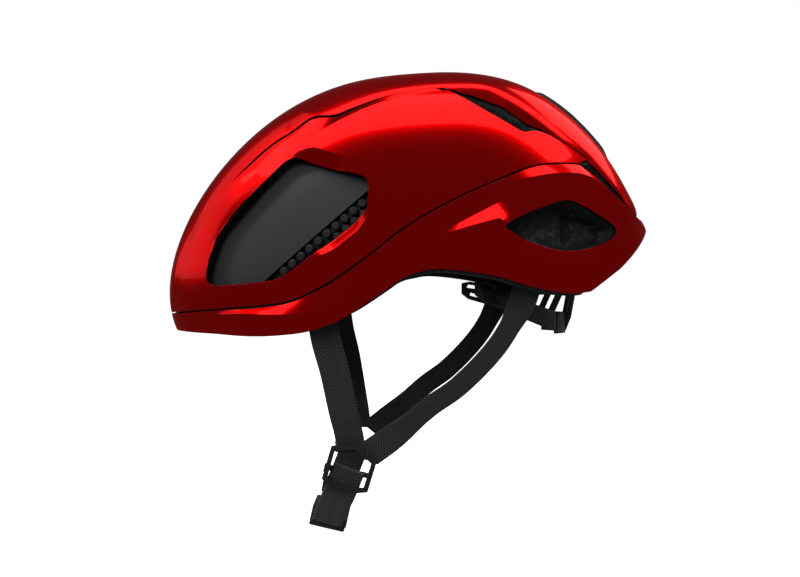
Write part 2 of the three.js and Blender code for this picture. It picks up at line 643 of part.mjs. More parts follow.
/** A toothed belt end: a bar across the back with a leg that turns forward to the temple. */
function belt(low) {
  let bar = box([-12, BELT.front, low], [BELT.reach, BELT.back, low + BELT.tall])
    .add(box([BELT.reach - BELT.leg, 88, low], [BELT.reach, BELT.back, low + BELT.tall]));
  for (let tooth = 0; tooth < 8; tooth += 1) {
    const x = -10 + 3 * tooth;
    bar = bar.subtract(box([x, BELT.back - 0.8, low - 1], [x + 1.4, BELT.back + 1, low + BELT.tall + 1]));
  }
  return bar;
}

// ---- assembly -----------------------------------------------------------------------------

const helmet = new THREE.Group();

function add(name, shape, finish) {
  const geometry = shape.isBufferGeometry ? shape : geometryOf(shape);
  const mesh = new THREE.Mesh(geometry, finish());
  mesh.name = name;
  helmet.add(mesh);
  return mesh;
}

function addPair(name, shape, finish) {
  const geometry = shape.isBufferGeometry ? shape : geometryOf(shape);
  add(`${name}_left`, geometry, finish);
  add(`${name}_right`, mirrored(geometry), finish);
}

add('liner', liner, FINISH.foam);
add('spine_cover', spineCover, FINISH.red);
addPair('side_panel', sidePanel, FINISH.red);
add('lower_shell', lowerShell, FINISH.red);
add('rear_cover', rearCover, FINISH.black);
addPair('duct_panel', ductPanel, FINISH.black);
addPair('block_strip', blockStrip(), FINISH.foam);

for (const place of ['brow', 'crown']) {
  add(`${place}_pad`, padLayer.intersect(PAD_PLACES[place]), FINISH.pad);
  add(`${place}_hook`, hookLayer.intersect(HOOK_PLACES[place]), FINISH.hook);
}
addPair('side_pad', padLayer.intersect(PAD_PLACES.side), FINISH.pad);
addPair('side_hook', hookLayer.intersect(HOOK_PLACES.side), FINISH.hook);

addPair('front_anchor', anchorBox(FRONT_ANCHOR, 0, 0), FINISH.plastic);
addPair('rear_anchor', anchorBox(REAR_ANCHOR, 0, 0), FINISH.plastic);
addPair('front_strap', ribbon(FRONT_STRAP, WEBBING, yAcross), FINISH.webbing);
addPair('rear_strap', ribbon(REAR_STRAP, WEBBING, flatToSide, { steps: 16 }), FINISH.webbing);
addPair('chin_strap', ribbon(CHIN_STRAP, CHIN_WEBBING, buckleAcross), FINISH.webbing);
addPair('divider', divider(), FINISH.plastic);
add('strap_tail', mirrored(looseEnd), FINISH.webbing);
add('strap_keeper', mirroredSolid(keeper()), FINISH.rubber);

const buckleParts = new THREE.Group();
buckleParts.position.copy(BUCKLE);
buckleParts.rotation.x = BUCKLE_TILT;
buckleParts.add(
  add('buckle_socket', socket, FINISH.plastic),
  add('buckle_plug', plug, FINISH.plastic),
  add('prong_rear', prong, FINISH.plastic),
);
const frontProng = add('prong_front', prong, FINISH.plastic);
frontProng.rotation.x = Math.PI;
buckleParts.add(frontProng);
helmet.add(buckleParts);

add('cradle_frame', cradleFrame, FINISH.plastic);
addPair('cradle_arm', cradleArm(), FINISH.plastic);
add('cradle_pad', cradlePad, FINISH.pad);
add('front_band', frontBand, FINISH.plastic);
addPair('band_rivet', bandRivet, FINISH.plastic);
add('height_rack', rack, FINISH.plastic);
addPair('rack_screw', rackScrew(17.6), FINISH.steel);
add('scroll_bracket', scrollBracket, FINISH.plastic);
add('scroll_axle', barAlongX(AXLE_RADIUS, -15.6, 15.6, WHEEL.y, WHEEL.z, 12), FINISH.steel);
add('scroll_wheel', scrollWheel(), FINISH.rubber);
add('belt_left', belt(26), FINISH.plastic);
add('belt_right', mirroredSolid(belt(20.4)), FINISH.plastic);

export default helmet;
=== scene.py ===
"""The looks of the cycling helmet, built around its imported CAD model.

The skins, the foam, the harness and the pads are rebuilt here at a finer grain, in the places that
the CAD model gives. Shapes are worked out in millimetres and stored in metres. The front of the
helmet points along -Y, its tail along +Y, the wearer's left is +X and +Z is up.
"""

import math

import bmesh
import bpy
import numpy as np
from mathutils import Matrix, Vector


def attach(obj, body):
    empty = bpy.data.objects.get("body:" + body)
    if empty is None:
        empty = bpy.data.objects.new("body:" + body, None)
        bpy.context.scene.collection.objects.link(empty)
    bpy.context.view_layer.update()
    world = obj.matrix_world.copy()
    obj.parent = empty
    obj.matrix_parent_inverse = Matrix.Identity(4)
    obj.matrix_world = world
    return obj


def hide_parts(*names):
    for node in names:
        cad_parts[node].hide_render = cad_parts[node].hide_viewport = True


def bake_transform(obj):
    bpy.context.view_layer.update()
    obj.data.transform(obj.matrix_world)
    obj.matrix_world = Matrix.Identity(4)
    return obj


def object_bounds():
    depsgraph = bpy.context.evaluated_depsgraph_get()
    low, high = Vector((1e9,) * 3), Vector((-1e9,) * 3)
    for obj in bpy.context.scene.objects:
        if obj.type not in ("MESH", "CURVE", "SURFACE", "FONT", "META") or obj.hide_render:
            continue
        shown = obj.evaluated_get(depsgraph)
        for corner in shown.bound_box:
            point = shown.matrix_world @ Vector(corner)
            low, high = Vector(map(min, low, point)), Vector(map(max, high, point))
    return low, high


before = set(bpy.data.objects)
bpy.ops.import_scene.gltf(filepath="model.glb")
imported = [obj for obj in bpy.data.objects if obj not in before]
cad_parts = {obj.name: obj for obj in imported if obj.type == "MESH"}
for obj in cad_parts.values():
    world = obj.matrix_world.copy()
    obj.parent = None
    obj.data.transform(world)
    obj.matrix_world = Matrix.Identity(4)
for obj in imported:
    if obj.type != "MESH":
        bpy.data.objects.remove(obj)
cad_bounds = [list(corner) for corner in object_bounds()]

MM = 0.001

# ---- camera, lights and floor ----

CAMERA_DISTANCE = 680 * MM
LENS = 50.8
SENSOR = 36.0


def add_camera():
    """Level with the headband, looking at the wearer's left side."""
    data = bpy.data.cameras.new("camera")
    data.lens = LENS
    data.sensor_width = SENSOR
    data.clip_end = 20.0
    camera = bpy.data.objects.new("camera", data)
    camera.location = (CAMERA_DISTANCE, 0.0, 0.0)
    camera.rotation_euler = (math.radians(90), 0.0, math.radians(90))
    bpy.context.scene.collection.objects.link(camera)
    bpy.context.scene.camera = camera


def add_softbox(name, location, target, size, power):
    data = bpy.data.lights.new(name, "AREA")
    data.shape = "RECTANGLE"
    data.size, data.size_y = size
    data.energy = power
    light = bpy.data.objects.new(name, data)
    light.location = location
    direction = Vector(target) - Vector(location)
    light.rotation_euler = direction.to_track_quat("-Z", "Y").to_euler()
    bpy.context.scene.collection.objects.link(light)
    return light


def add_world():
    """White behind the helmet, and a dim studio around it for the reflections."""
    world = bpy.data.worlds.new("studio")
    bpy.context.scene.world = world
    world.use_nodes = True
    nodes, links = world.node_tree.nodes, world.node_tree.links
    nodes.clear()
    output = nodes.new("ShaderNodeOutputWorld")
    mix = nodes.new("ShaderNodeMixShader")
    path = nodes.new("ShaderNodeLightPath")
    dim = nodes.new("ShaderNodeBackground")
    white = nodes.new("ShaderNodeBackground")
    dim.inputs["Color"].default_value = (0.9, 0.93, 1.0, 1)
    dim.inputs["Strength"].default_value = 0.16
    white.inputs["Color"].default_value = (1, 1, 1, 1)
    white.inputs["Strength"].default_value = 1.0
    links.new(path.outputs["Is Camera Ray"], mix.inputs["Fac"])
    links.new(dim.outputs[0], mix.inputs[1])
    links.new(white.outputs[0], mix.inputs[2])
    links.new(mix.outputs[0], output.inputs["Surface"])


def add_floor():
    low = cad_bounds[0][2] - 0.002
    mesh = bpy.data.meshes.new("floor")
    half = 12.0
    mesh.from_pydata(
        [(-half, -half, low), (half, -half, low), (half, half, low), (-half, half, low)],
        [],
        [(0, 1, 2, 3)],
    )
    floor = bpy.data.objects.new("floor", mesh)
    bpy.context.scene.collection.objects.link(floor)
    material = bpy.data.materials.new("pale_floor")
    material.use_nodes = True
    shader = material.node_tree.nodes["Principled BSDF"]
    shader.inputs["Base Color"].default_value = (0.93, 0.93, 0.93, 1)
    shader.inputs["Roughness"].default_value = 0.9
    shader.inputs["Specular IOR Level"].default_value = 0.0
    shader.inputs["Emission Color"].default_value = (1, 1, 1, 1)
    shader.inputs["Emission Strength"].default_value = 0.96
    mesh.materials.append(material)
    floor.visible_glossy = False
    floor.visible_diffuse = False


add_camera()
add_world()
add_floor()
bpy.context.scene.view_settings.view_transform = "Standard"
add_softbox("overhead", (0.0, 0.05, 1.1), (0, 0.05, 0), (0.62, 2.6), 14)
add_softbox("front", (-0.5, -1.6, 0.85), (0, 0, 0), (1.3, 1.6), 5.5)
add_softbox("rear", (-1.0, 1.0, 1.0), (0, 0.05, 0.03), (0.9, 0.9), 6)
fill = add_softbox("fill", (1.7, -0.5, 0.9), (0, 0, 0), (1.2, 1.2), 30)
fill.visible_glossy = False

# ---- outer skin ----

HALF_WIDTH = 104.0
ROUNDNESS = 2.18
HEART = np.array([0.0, 6.0, 20.0])
MIDPLANE = [
    (-136.5, -2), (-131, 26.5), (-117.8, 53.5), (-97, 80.3), (-65.3, 106.1), (-27.8, 121.9),
    (10, 127.1), (44.7, 126.9), (77.3, 117.6), (102.6, 99.5), (122.6, 76.9), (137, 52.4),
    (147, 26), (143, -8), (105, -45), (30, -72), (-50, -72), (-112, -48), (-132, -25),
]
TAIL_NORMAL = np.array([0, 0.7, -0.714]) / np.hypot(0.7, 0.714)
TAIL_POINT = np.array([0, 141.6, 32.7])
TAIL_ROUND = 1.0
SHELL = 2.0
SKIN_DIVISIONS = 112


def closed_spline(angles, values):
    """A smooth periodic function of an angle through the given values."""
    turn = 2 * math.pi
    n = len(angles)
    span = np.array([(angles[(i + 1) % n] - angles[i]) % turn for i in range(n)])
    matrix = np.zeros((n, n))
    right = np.zeros(n)
    for i in range(n):
        before, after = span[i - 1], span[i]
        matrix[i, i - 1] += before
        matrix[i, i] += 2 * (before + after)
        matrix[i, (i + 1) % n] += after
        slope_after = (values[(i + 1) % n] - values[i]) / after
        right[i] = 6 * (slope_after - (values[i] - values[i - 1]) / before)
    bend = np.linalg.solve(matrix, right)
    starts = np.concatenate([[0], np.cumsum(span)])

    def at(angle):
        turned = (np.asarray(angle, float) - angles[0]) % turn
        k = np.clip(np.searchsorted(starts, turned, side="right") - 1, 0, n - 1)
        past, whole, after = turned - starts[k], span[k], (k + 1) % n
        left = whole - past
        return (
            bend[k] * left**3 / (6 * whole)
            + bend[after] * past**3 / (6 * whole)
            + (values[k] / whole - bend[k] * whole / 6) * left
            + (values[after] / whole - bend[after] * whole / 6) * past
        )

    return at


def midplane_function():
    arms = np.array(MIDPLANE, float) - HEART[1:]
    angles = np.unwrap(np.arctan2(arms[:, 1], -arms[:, 0]))
    return closed_spline(angles, np.hypot(arms[:, 0], arms[:, 1]))


midplane_reach = midplane_function()


def skin(directions):
    """Points of the plain outer skin, without its relief, in directions from HEART."""
    x, y, z = directions.T
    reach = midplane_reach(np.arctan2(z, -y))
    tall = (np.hypot(y, z) / reach) ** ROUNDNESS
    wide = (np.abs(x) / HALF_WIDTH) ** ROUNDNESS
    distance = (tall + wide) ** (-1 / ROUNDNESS)
    facing = np.maximum(directions @ TAIL_NORMAL, 0.02)
    tail = (TAIL_POINT - HEART) @ TAIL_NORMAL / facing
    excess = np.clip((distance - tail) / TAIL_ROUND, -60, 60)
    distance = distance - TAIL_ROUND * np.log1p(np.exp(excess))
    return HEART + directions * distance[:, None]


def tangents(directions):
    helper = np.where(np.abs(directions[:, :1]) < 0.7, [[1.0, 0, 0]], [[0, 1.0, 0]])
    u = np.cross(directions, helper)
    u /= np.linalg.norm(u, axis=1, keepdims=True)
    return u, np.cross(directions, u)


def unit(vectors):
    return vectors / np.maximum(np.linalg.norm(vectors, axis=1, keepdims=True), 1e-12)


def normals_of(surface, directions, step=0.004):
    u, v = tangents(directions)
    along_u = surface(unit(directions + step * u)) - surface(unit(directions - step * u))
    along_v = surface(unit(directions + step * v)) - surface(unit(directions - step * v))
    normals = unit(np.cross(along_u, along_v))
    return normals * np.sign((normals * directions).sum(1))[:, None]


# ---- side-view outlines, (y, z) in millimetres ----


def smooth_line(points, per_span=6):
    """An open Catmull-Rom curve through the points."""
    p = np.array(points, float)
    p = np.vstack([2 * p[0] - p[1], p, 2 * p[-1] - p[-2]])
    out = []
    for i in range(1, len(p) - 2):
        for t in np.linspace(0, 1, per_span, endpoint=False):
            a, b, c, d = p[i - 1], p[i], p[i + 1], p[i + 2]
            square, cube = 2 * a - 5 * b + 4 * c - d, 3 * b - a - 3 * c + d
            out.append(0.5 * (2 * b + (c - a) * t + square * t**2 + cube * t**3))
    out.append(p[-2])
    return np.array(out)


def rounded_outline(points, radius, steps=4):
    """A closed outline with each corner turned into a short curve."""
    p = np.array(points, float)
    out = []
    for i in range(len(p)):
        corner = p[i]
        before, after = p[i - 1] - corner, p[(i + 1) % len(p)] - corner
        start = corner + before * min(0.45, radius / np.linalg.norm(before))
        end = corner + after * min(0.45, radius / np.linalg.norm(after))
        for t in np.linspace(0, 1, steps):
            out.append((1 - t) ** 2 * start + 2 * t * (1 - t) * corner + t**2 * end)
    return np.array(out)


def nearest(points, line, closed=False):
    """Distance to a line, the nearest place on it, and the side: + on the left of its direction."""
    a = line if closed else line[:-1]
    b = np.roll(line, -1, axis=0) if closed else line[1:]
    best = np.full(len(points), np.inf)
    place = np.zeros((len(points), 2))
    side = np.ones(len(points))
    for start, end in zip(a, b):
        along = end - start
        length2 = along @ along
        if length2 < 1e-9:
            continue
        arm = points - start
        t = np.clip(arm @ along / length2, 0, 1)
        foot = start + t[:, None] * along
        distance = np.hypot(*(points - foot).T)
        better = distance < best - 1e-9
        best[better] = distance[better]
        place[better] = foot[better]
        turn = along[0] * arm[:, 1] - along[1] * arm[:, 0]
        side[better] = np.where(turn[better] >= 0, 1.0, -1.0)
    return best, place, side


def inside(points, outline):
    x, y = points.T
    result = np.zeros(len(points), bool)
    for (x1, y1), (x2, y2) in zip(outline, np.roll(outline, -1, axis=0)):
        crosses = (y1 > y) != (y2 > y)
        at = (x2 - x1) * (y - y1) / np.where(y2 == y1, 1e-9, y2 - y1) + x1
        result ^= crosses & (x < at)
    return result


def above(points, line):
    """Signed distance from an open line that runs towards +y: positive above it."""
    distance, _, side = nearest(points, line)
    return distance * side


def outside(points, outline):
    """Signed distance from a closed outline: positive outside."""
    distance, _, _ = nearest(points, outline, closed=True)
    return np.where(inside(points, outline), -distance, distance)


RIM = smooth_line([
    (-138, -16), (-132, -24.5), (-106, -24.6), (-80, -24.4), (-52, -22), (-36, -17.3),
    (-26, -12.5), (-10, -2.5), (1, 5), (10, 8.5), (19, 10), (33, 9), (51, 6), (70, 0.3),
    (90, -3.2), (104, -2.5), (125, -2.5), (170, -2.5),
])
RIM[:12] = np.linspace((-150, 1), (-132.6, -24), 12)
SEAM = smooth_line([
    (-150, -14), (-131, -14), (-100, -11.5), (-73, -9.3), (-58, -7), (-47, -2.6), (-34.6, 4),
    (-20.5, 13.7), (-11, 20.7), (0, 29.5), (16, 39.4), (34, 48.8), (52, 57), (66, 63), (76, 65.7),
    (86, 67), (97, 67.4),
])
SLOT_TOP = smooth_line([
    (105, 69.3), (116, 59.5), (124.7, 52), (131.7, 43.6), (142, 42.6), (165, 42.6),
])
SLOT_BOTTOM = smooth_line([
    (104, 63), (111.4, 57.4), (122, 48.6), (133.5, 41.2), (142, 39.6), (165, 39.6),
])
SPINE_CREASE = smooth_line([
    (-150, -14), (-131, -14), (-127.5, -4), (-121.7, 13.7), (-115.4, 33.2), (-103.3, 48.9),
    (-88.7, 65), (-73.7, 78.6), (-58.7, 88), (-48.2, 93.6), (-35.4, 93.9), (-25.7, 98),
    (-9.6, 104.7), (6.8, 109), (22.3, 111), (40, 112.2), (47.3, 111.6), (53.6, 109), (61, 103.2),
    (71.4, 94.9), (82, 86.3), (93, 78.4), (104.4, 70.8),
])
SPINE_FOOT = smooth_line([
    (22.3, 111), (27, 110.7), (33, 109.8), (40.5, 109), (48, 107), (55, 103.4), (63, 97.4),
    (70.5, 91.6), (77, 88), (84, 83.6), (93, 78), (104.4, 70.4),
])
PANEL_TOP = smooth_line([
    (26, 108.8), (32.2, 105.1), (39.1, 100.5), (46, 95.9), (56.2, 89.7), (63.1, 85.6),
    (66.7, 84.3), (73.5, 85.4), (81.7, 83.2), (93, 77), (104.4, 69.8),
])
STEP_LINE = smooth_line([
    (-106, 9), (-102, 21), (-97, 32), (-86.7, 44), (-76, 56), (-70, 65.4), (-59, 73.6),
    (-45.4, 83.2), (-29.5, 92.2), (-13.5, 99.8), (-1.4, 103.4), (10.8, 106.2), (18.9, 107.8),
    (27, 108.2), (34, 106),
])
LEDGE_LINE = smooth_line([
    (-112, -14.5), (-96, -13.6), (-79.2, -12), (-66, -11.8), (-51.9, -11.2), (-36.1, -8),
    (-19.5, 0.3), (-6, 10), (10, 22),
])
FRONT_VENT = rounded_outline([
    (-105.6, 5), (-101.5, 1.2), (-84.5, 2), (-64, 4.4), (-57, 8.6), (-39.3, 22.0), (-23.2, 34.8),
    (-16.6, 41), (-16, 55), (-18.6, 58.4), (-30, 62), (-44, 67), (-55, 70.4), (-61, 68.4),
    (-73.7, 56), (-86.7, 43.6), (-97, 31), (-102, 21.3),
], 4.0)
SIDE_VENT = rounded_outline([
    (51.8, 31.2), (59, 36), (70.4, 41.1), (84.6, 46.2), (91, 46), (99, 42.4), (111, 35.8),
    (115.6, 32.4), (116, 29.4), (113, 26), (105.9, 22.4), (95.8, 19.8), (86.3, 19.6), (77.7, 21.1),
    (66.3, 25),
], 3.0)
REAR_COVER = rounded_outline([(-17, 77), (17, 77), (25, 98), (20, 124), (-20, 124), (-25, 98)], 4.0)
GAP = 1.2                            # half of it goes to each side of a seam

# ---- relief ----

SPINE_EDGE = np.vstack([SPINE_CREASE, SLOT_TOP[1:]])


def ramp(value, low, high):
    """0 below low, 1 above high, smooth between."""
    t = np.clip((value - low) / (high - low), 0, 1)
    return t * t * (3 - 2 * t)


def bump(value, start, rise, fall, end):
    return ramp(value, start, rise) * (1 - ramp(value, fall, end))


def facet_share(y):
    """How much of its full width the spine's front facet has."""
    return bump(y, -140, -118, -62, -42)


def spine_relief(b):
    """The spine's lower front facet, and its wall down into the upper rear vent."""
    side = b[:, 1:]
    y = side[:, 0]
    over = above(side, SPINE_EDGE)
    wall = np.maximum(-over, 0) * 1.05
    facet_width = 9.5 * facet_share(y)
    facet = np.clip(1 - over / np.maximum(facet_width, 0.1), 0, 1) * facet_width * 0.22
    facet = np.where(y < -40, facet, 0)
    roll = 1.6 * np.exp(-np.maximum(over, 0) / 2.2) * ramp(y, -60, 0)
    return -wall - facet - roll


def channel_depth(y):
    return 3.4 * ramp(y, -106, -80) * (1 - 0.6 * ramp(y, -40, 24))


def bevel_width(place):
    """Width and steepness of the bevel round the front vent, at a place on its outline."""
    y, z = place.T
    top = bump(y, -60, -47, -36, -19) * (z > 50)
    low = bump(y, -52, -34, -26, -12) * (z < 42)
    return 0.5 + 6.6 * top + 4.4 * low, 0.6 * top + 1.0 * low


def bevel_edge(side):
    distance, place, _ = nearest(side, FRONT_VENT, closed=True)
    return distance - bevel_width(place)[0]


def side_relief(b):
    """The slanted channel beside the spine, and the bevels round the front vent."""
    side = b[:, 1:]
    y = side[:, 0]
    over = above(side, STEP_LINE)
    under_spine = np.maximum(-above(side, SPINE_EDGE), 0)
    share = np.maximum(over, 0) / np.maximum(np.maximum(over, 0) + under_spine, 0.5)
    floor = channel_depth(y) * (1 - share * (0.8 - 0.45 * facet_share(y)))
    relief = -floor * ramp(over, -0.4, 0.6) * (1 - ramp(y, 24, 33))
    distance, place, _ = nearest(side, FRONT_VENT, closed=True)
    width, steepness = bevel_width(place)
    return relief - np.maximum(width - distance, 0) * steepness


REAR_LEDGE = smooth_line([
    (40, 50), (58, 55.5), (74, 58.8), (88, 60.2), (96, 59.9), (103, 57.8), (111, 52.4),
    (123, 43.4), (133, 37.2), (140, 33), (150, 28),
])
SCOOP_TOP = np.array([(18.5, 27.0), (34, 35.6), (51.7, 44.8), (62, 51)])
SCOOP_FOOT = np.array([(18.5, 26.6), (34, 31.4), (49.4, 35.4), (54.5, 33), (60, 28)])
BASE_LINE = smooth_line([
    (46, 19.5), (62.6, 15.7), (78, 10.6), (89, 7.6), (100, 7.8), (122, 12), (140, 16),
])


def run_out(under, share, length):
    """A share that holds down to a crease and fades over a length below it."""
    return np.where(under > 0, np.exp(-np.maximum(under, 0) / length), share)


def lower_relief(b):
    """The ledges under the seam and the slot, the scoop before the side vent, and its surround."""
    side = b[:, 1:]
    y = side[:, 0]
    under_seam = -above(side, np.vstack([SEAM, SLOT_BOTTOM]))
    relief = np.zeros(len(b))
    front = 6.0 * bump(y, -106, -66, -34, 0)
    rear = 3.8 * ramp(y, 50, 84) * (1 - 0.7 * ramp(y, 122, 142))
    for reach, line in ((front, LEDGE_LINE), (rear, REAR_LEDGE)):
        under_ledge = -above(side, line)
        share = np.clip(under_seam / np.maximum(under_seam - under_ledge, 0.5), 0, 1)
        relief += reach * run_out(under_ledge, share, 20.0)
    rise = 5.8 * ramp(y, 16, 49) * (1 - ramp(y, 48, 66))
    under_top, under_foot = -above(side, SCOOP_TOP), -above(side, SCOOP_FOOT)
    share = np.clip(under_top / np.maximum(under_top - under_foot, 0.4), 0, 1)
    relief += rise * run_out(under_foot, share, 9.0)
    around, place, _ = nearest(side, SIDE_VENT, closed=True)
    below_vent = bump(place[:, 0], 56, 66, 104, 116) * (side[:, 1] < 31)
    base = 0.24 * np.maximum(-above(side, BASE_LINE), 0) * ramp(y, 46, 80)
    return relief - base - 2.6 * below_vent * (1 - np.clip(around / 11.0, 0, 1))


def cover_relief(b):
    """The rear cover stands a little proud of the spine."""
    inward = -outside(b[:, :2], REAR_COVER)
    return -0.2 + 2.2 * ramp(inward, 0, 7)


def relieved(relief):
    """The skin with a relief on it, as a function of directions."""

    def surface(directions):
        points = skin(directions)
        mirrored = points.copy()
        mirrored[:, 0] = np.abs(points[:, 0])
        normals = normals_of(skin, directions)
        return points + normals * relief(mirrored)[:, None]

    return surface


# ---- mesh tools ----


def geodesic(divisions):
    """Unit directions and triangles of an icosahedron whose edges are cut into divisions."""
    golden = (1 + math.sqrt(5)) / 2
    corners = unit(np.array([
        (-1, golden, 0), (1, golden, 0), (-1, -golden, 0), (1, -golden, 0),
        (0, -1, golden), (0, 1, golden), (0, -1, -golden), (0, 1, -golden),
        (golden, 0, -1), (golden, 0, 1), (-golden, 0, -1), (-golden, 0, 1),
    ], float))
    faces = [
        (0, 11, 5), (0, 5, 1), (0, 1, 7), (0, 7, 10), (0, 10, 11), (1, 5, 9), (5, 11, 4),
        (11, 10, 2), (10, 7, 6), (7, 1, 8), (3, 9, 4), (3, 4, 2), (3, 2, 6), (3, 6, 8), (3, 8, 9),
        (4, 9, 5), (2, 4, 11), (6, 2, 10), (8, 6, 7), (9, 8, 1),
    ]
    n = divisions
    grid = [(i, j) for i in range(n + 1) for j in range(n + 1 - i)]
    index = {place: k for k, place in enumerate(grid)}
    weights = np.array([(n - i - j, i, j) for i, j in grid], float) / n
    triangles = []
    for i in range(n):
        for j in range(n - i):
            triangles.append((index[i, j], index[i + 1, j], index[i, j + 1]))
            if i + j < n - 1:
                triangles.append((index[i + 1, j], index[i + 1, j + 1], index[i, j + 1]))
    triangles = np.array(triangles)
    points = np.vstack([weights @ corners[list(face)] for face in faces])
    triangles = np.vstack([triangles + k * len(grid) for k in range(len(faces))])
    _, first, back = np.unique(np.round(points, 6), axis=0, return_index=True, return_inverse=True)
    return unit(points[first]), back.reshape(-1)[triangles]


def split(directions, triangles, keep):
    """A mesh of directions cut along keep's zero line: its positive and its negative triangles."""
    values = keep(directions)
    step = 0.0008
    near = np.flatnonzero(np.abs(values) < 0.9)
    if len(near):
        close = directions[near]
        u, v = tangents(close)
        slope_u = (keep(unit(close + step * u)) - keep(unit(close - step * u))) / (2 * step)
        slope_v = (keep(unit(close + step * v)) - keep(unit(close - step * v))) / (2 * step)
        steepness = np.maximum(slope_u**2 + slope_v**2, 1e-6)
        snap = np.abs(values[near]) / np.sqrt(steepness) < 0.36 / SKIN_DIVISIONS
        move = -values[near] / steepness
        moved = unit(close + (move * slope_u)[:, None] * u + (move * slope_v)[:, None] * v)
        directions = directions.copy()
        directions[near[snap]] = moved[snap]
        values[near[snap]] = 0.0
    sign = np.sign(values).astype(int)
    corner = sign[triangles]
    crossed = (corner > 0).any(1) & (corner < 0).any(1)
    parts = {
        1: [triangles[~crossed & (corner > 0).any(1)]],
        -1: [triangles[~crossed & ~(corner > 0).any(1)]],
    }
    made, extra = {}, []

    def crossing(a, b):
        key = (min(a, b), max(a, b))
        if key not in made:
            made[key] = len(directions) + len(extra)
            share = values[a] / (values[a] - values[b])
            extra.append(directions[a] + share * (directions[b] - directions[a]))
        return made[key]

    for triangle in triangles[crossed]:
        for way, out in parts.items():
            polygon = []
            for k in range(3):
                a, b = triangle[k], triangle[(k + 1) % 3]
                if sign[a] * way >= 0:
                    polygon.append(a)
                if sign[a] * sign[b] < 0:
                    polygon.append(crossing(a, b))
            for k in range(1, len(polygon) - 1):
                out.append(np.array([(polygon[0], polygon[k], polygon[k + 1])]))
    if extra:
        directions = np.vstack([directions, unit(np.array(extra))])
    return directions, np.vstack(parts[1]), np.vstack(parts[-1])


def clip(directions, triangles, keep):
    """The part of a mesh of directions where keep is positive."""
    directions, kept, _ = split(directions, triangles, keep)
    used, renumbered = np.unique(kept, return_inverse=True)
    return directions[used], renumbered.reshape(-1, 3)


def boundary_edges(triangles):
    edges = np.vstack([triangles[:, [0, 1]], triangles[:, [1, 2]], triangles[:, [2, 0]]])
    key = np.sort(edges, axis=1)
    _, first, counts = np.unique(key, axis=0, return_index=True, return_counts=True)
    return edges[first[counts == 1]]


def add_mesh(name, vertices, faces, material):
    """A mesh object from vertices in millimetres."""
    mesh = bpy.data.meshes.new(name)
    mesh.from_pydata((np.asarray(vertices) * MM).tolist(), [], [list(f) for f in faces])
    mesh.validate()
    mesh.update()
    mesh.polygons.foreach_set("use_smooth", np.ones(len(mesh.polygons), bool))
    mesh.materials.append(material)
    piece = bpy.data.objects.new(name, mesh)
    bpy.context.scene.collection.objects.link(piece)
    return piece


# (outward, inward) steps round a panel's edge
LIP = [(0.03, 0.02), (0.07, 0.08), (0.09, 0.2), (0.09, 0.9)]


def panel(name, surface, keeps, material, creases=(), thickness=SHELL):
    """A closed moulded panel: the surface where every keep is positive, with rolled edges.

    The paint ends on the rolled edge; the cut sides are black as painted shade for the dark seam
    gaps and vent edges, and the back is black too.
    """
    directions, triangles = geodesic(SKIN_DIVISIONS)
    for keep in keeps:
        directions, triangles = clip(directions, triangles, keep)
    for crease in creases:
        directions, *sides = split(directions, triangles, crease)
        triangles = np.vstack(sides)
    outer = surface(directions)
    normals = normals_of(surface, directions, 0.003)
    edges = boundary_edges(triangles)
    ring, back = np.unique(edges, return_inverse=True)
    edges_in_ring = back.reshape(-1, 2)
    along = unit(outer[edges[:, 1]] - outer[edges[:, 0]])
    away = np.cross(along, normals[edges[:, 0]])
    push = np.zeros((len(ring), 3))
    np.add.at(push, edges_in_ring[:, 0], away)
    np.add.at(push, edges_in_ring[:, 1], away)
    push = unit(push)
    layers = [outer]
    count = len(outer)
    faces = [triangles]
    previous = ring[edges_in_ring]
    for outward, inward in LIP:
        layers.append(outer[ring] + push * outward - normals[ring] * inward)
        current = count + edges_in_ring
        count += len(ring)
        faces.append(np.column_stack([previous[:, 1], previous[:, 0], current[:, 0]]))
        faces.append(np.column_stack([previous[:, 1], current[:, 0], current[:, 1]]))
        previous = current
    inner = outer - normals * thickness
    inner[ring] += push * LIP[-1][0]
    layers.append(inner)
    last = count + ring[edges_in_ring]
    faces.append(np.column_stack([previous[:, 1], previous[:, 0], last[:, 0]]))
    faces.append(np.column_stack([previous[:, 1], last[:, 0], last[:, 1]]))
    faces.append(triangles[:, ::-1] + count)
    piece = add_mesh(name, np.vstack(layers), np.vstack(faces), material)
    # The black on the cut sides is painted shade for the seam gaps and vent edges; the back is
    # black as well.
    piece.data.materials.append(BLACK)
    seam_shade_and_back_faces = np.arange(len(piece.data.polygons)) >= sum(map(len, faces[:3]))
    piece.data.polygons.foreach_set("material_index", seam_shade_and_back_faces.astype(np.int32))
    shade_by_angle(piece.data, 16)
    return piece


# ---- materials ----


def new_material(name, colour, roughness, metallic=0.0):
    material = bpy.data.materials.new(name)
    material.use_nodes = True
    tree = material.node_tree
    shader = tree.nodes["Principled BSDF"]
    shader.inputs["Base Color"].default_value = (*colour, 1)
    shader.inputs["Roughness"].default_value = roughness
    shader.inputs["Metallic"].default_value = metallic
    return material, tree, shader


def texture(tree, kind, scale, detail=2.0):
    """A procedural texture in the object's own metres."""
    node = tree.nodes.new(kind)
    node.inputs["Scale"].default_value = scale
    if "Detail" in node.inputs:
        node.inputs["Detail"].default_value = detail
    coordinates = tree.nodes.new("ShaderNodeTexCoord")
    tree.links.new(coordinates.outputs["Object"], node.inputs["Vector"])
    return node


def add_bump(tree, shader, height, strength, distance):
    bump_node = tree.nodes.new("ShaderNodeBump")
    bump_node.inputs["Strength"].default_value = strength
    bump_node.inputs["Distance"].default_value = distance * MM
    tree.links.new(height, bump_node.inputs["Height"])
    tree.links.new(bump_node.outputs["Normal"], shader.inputs["Normal"])


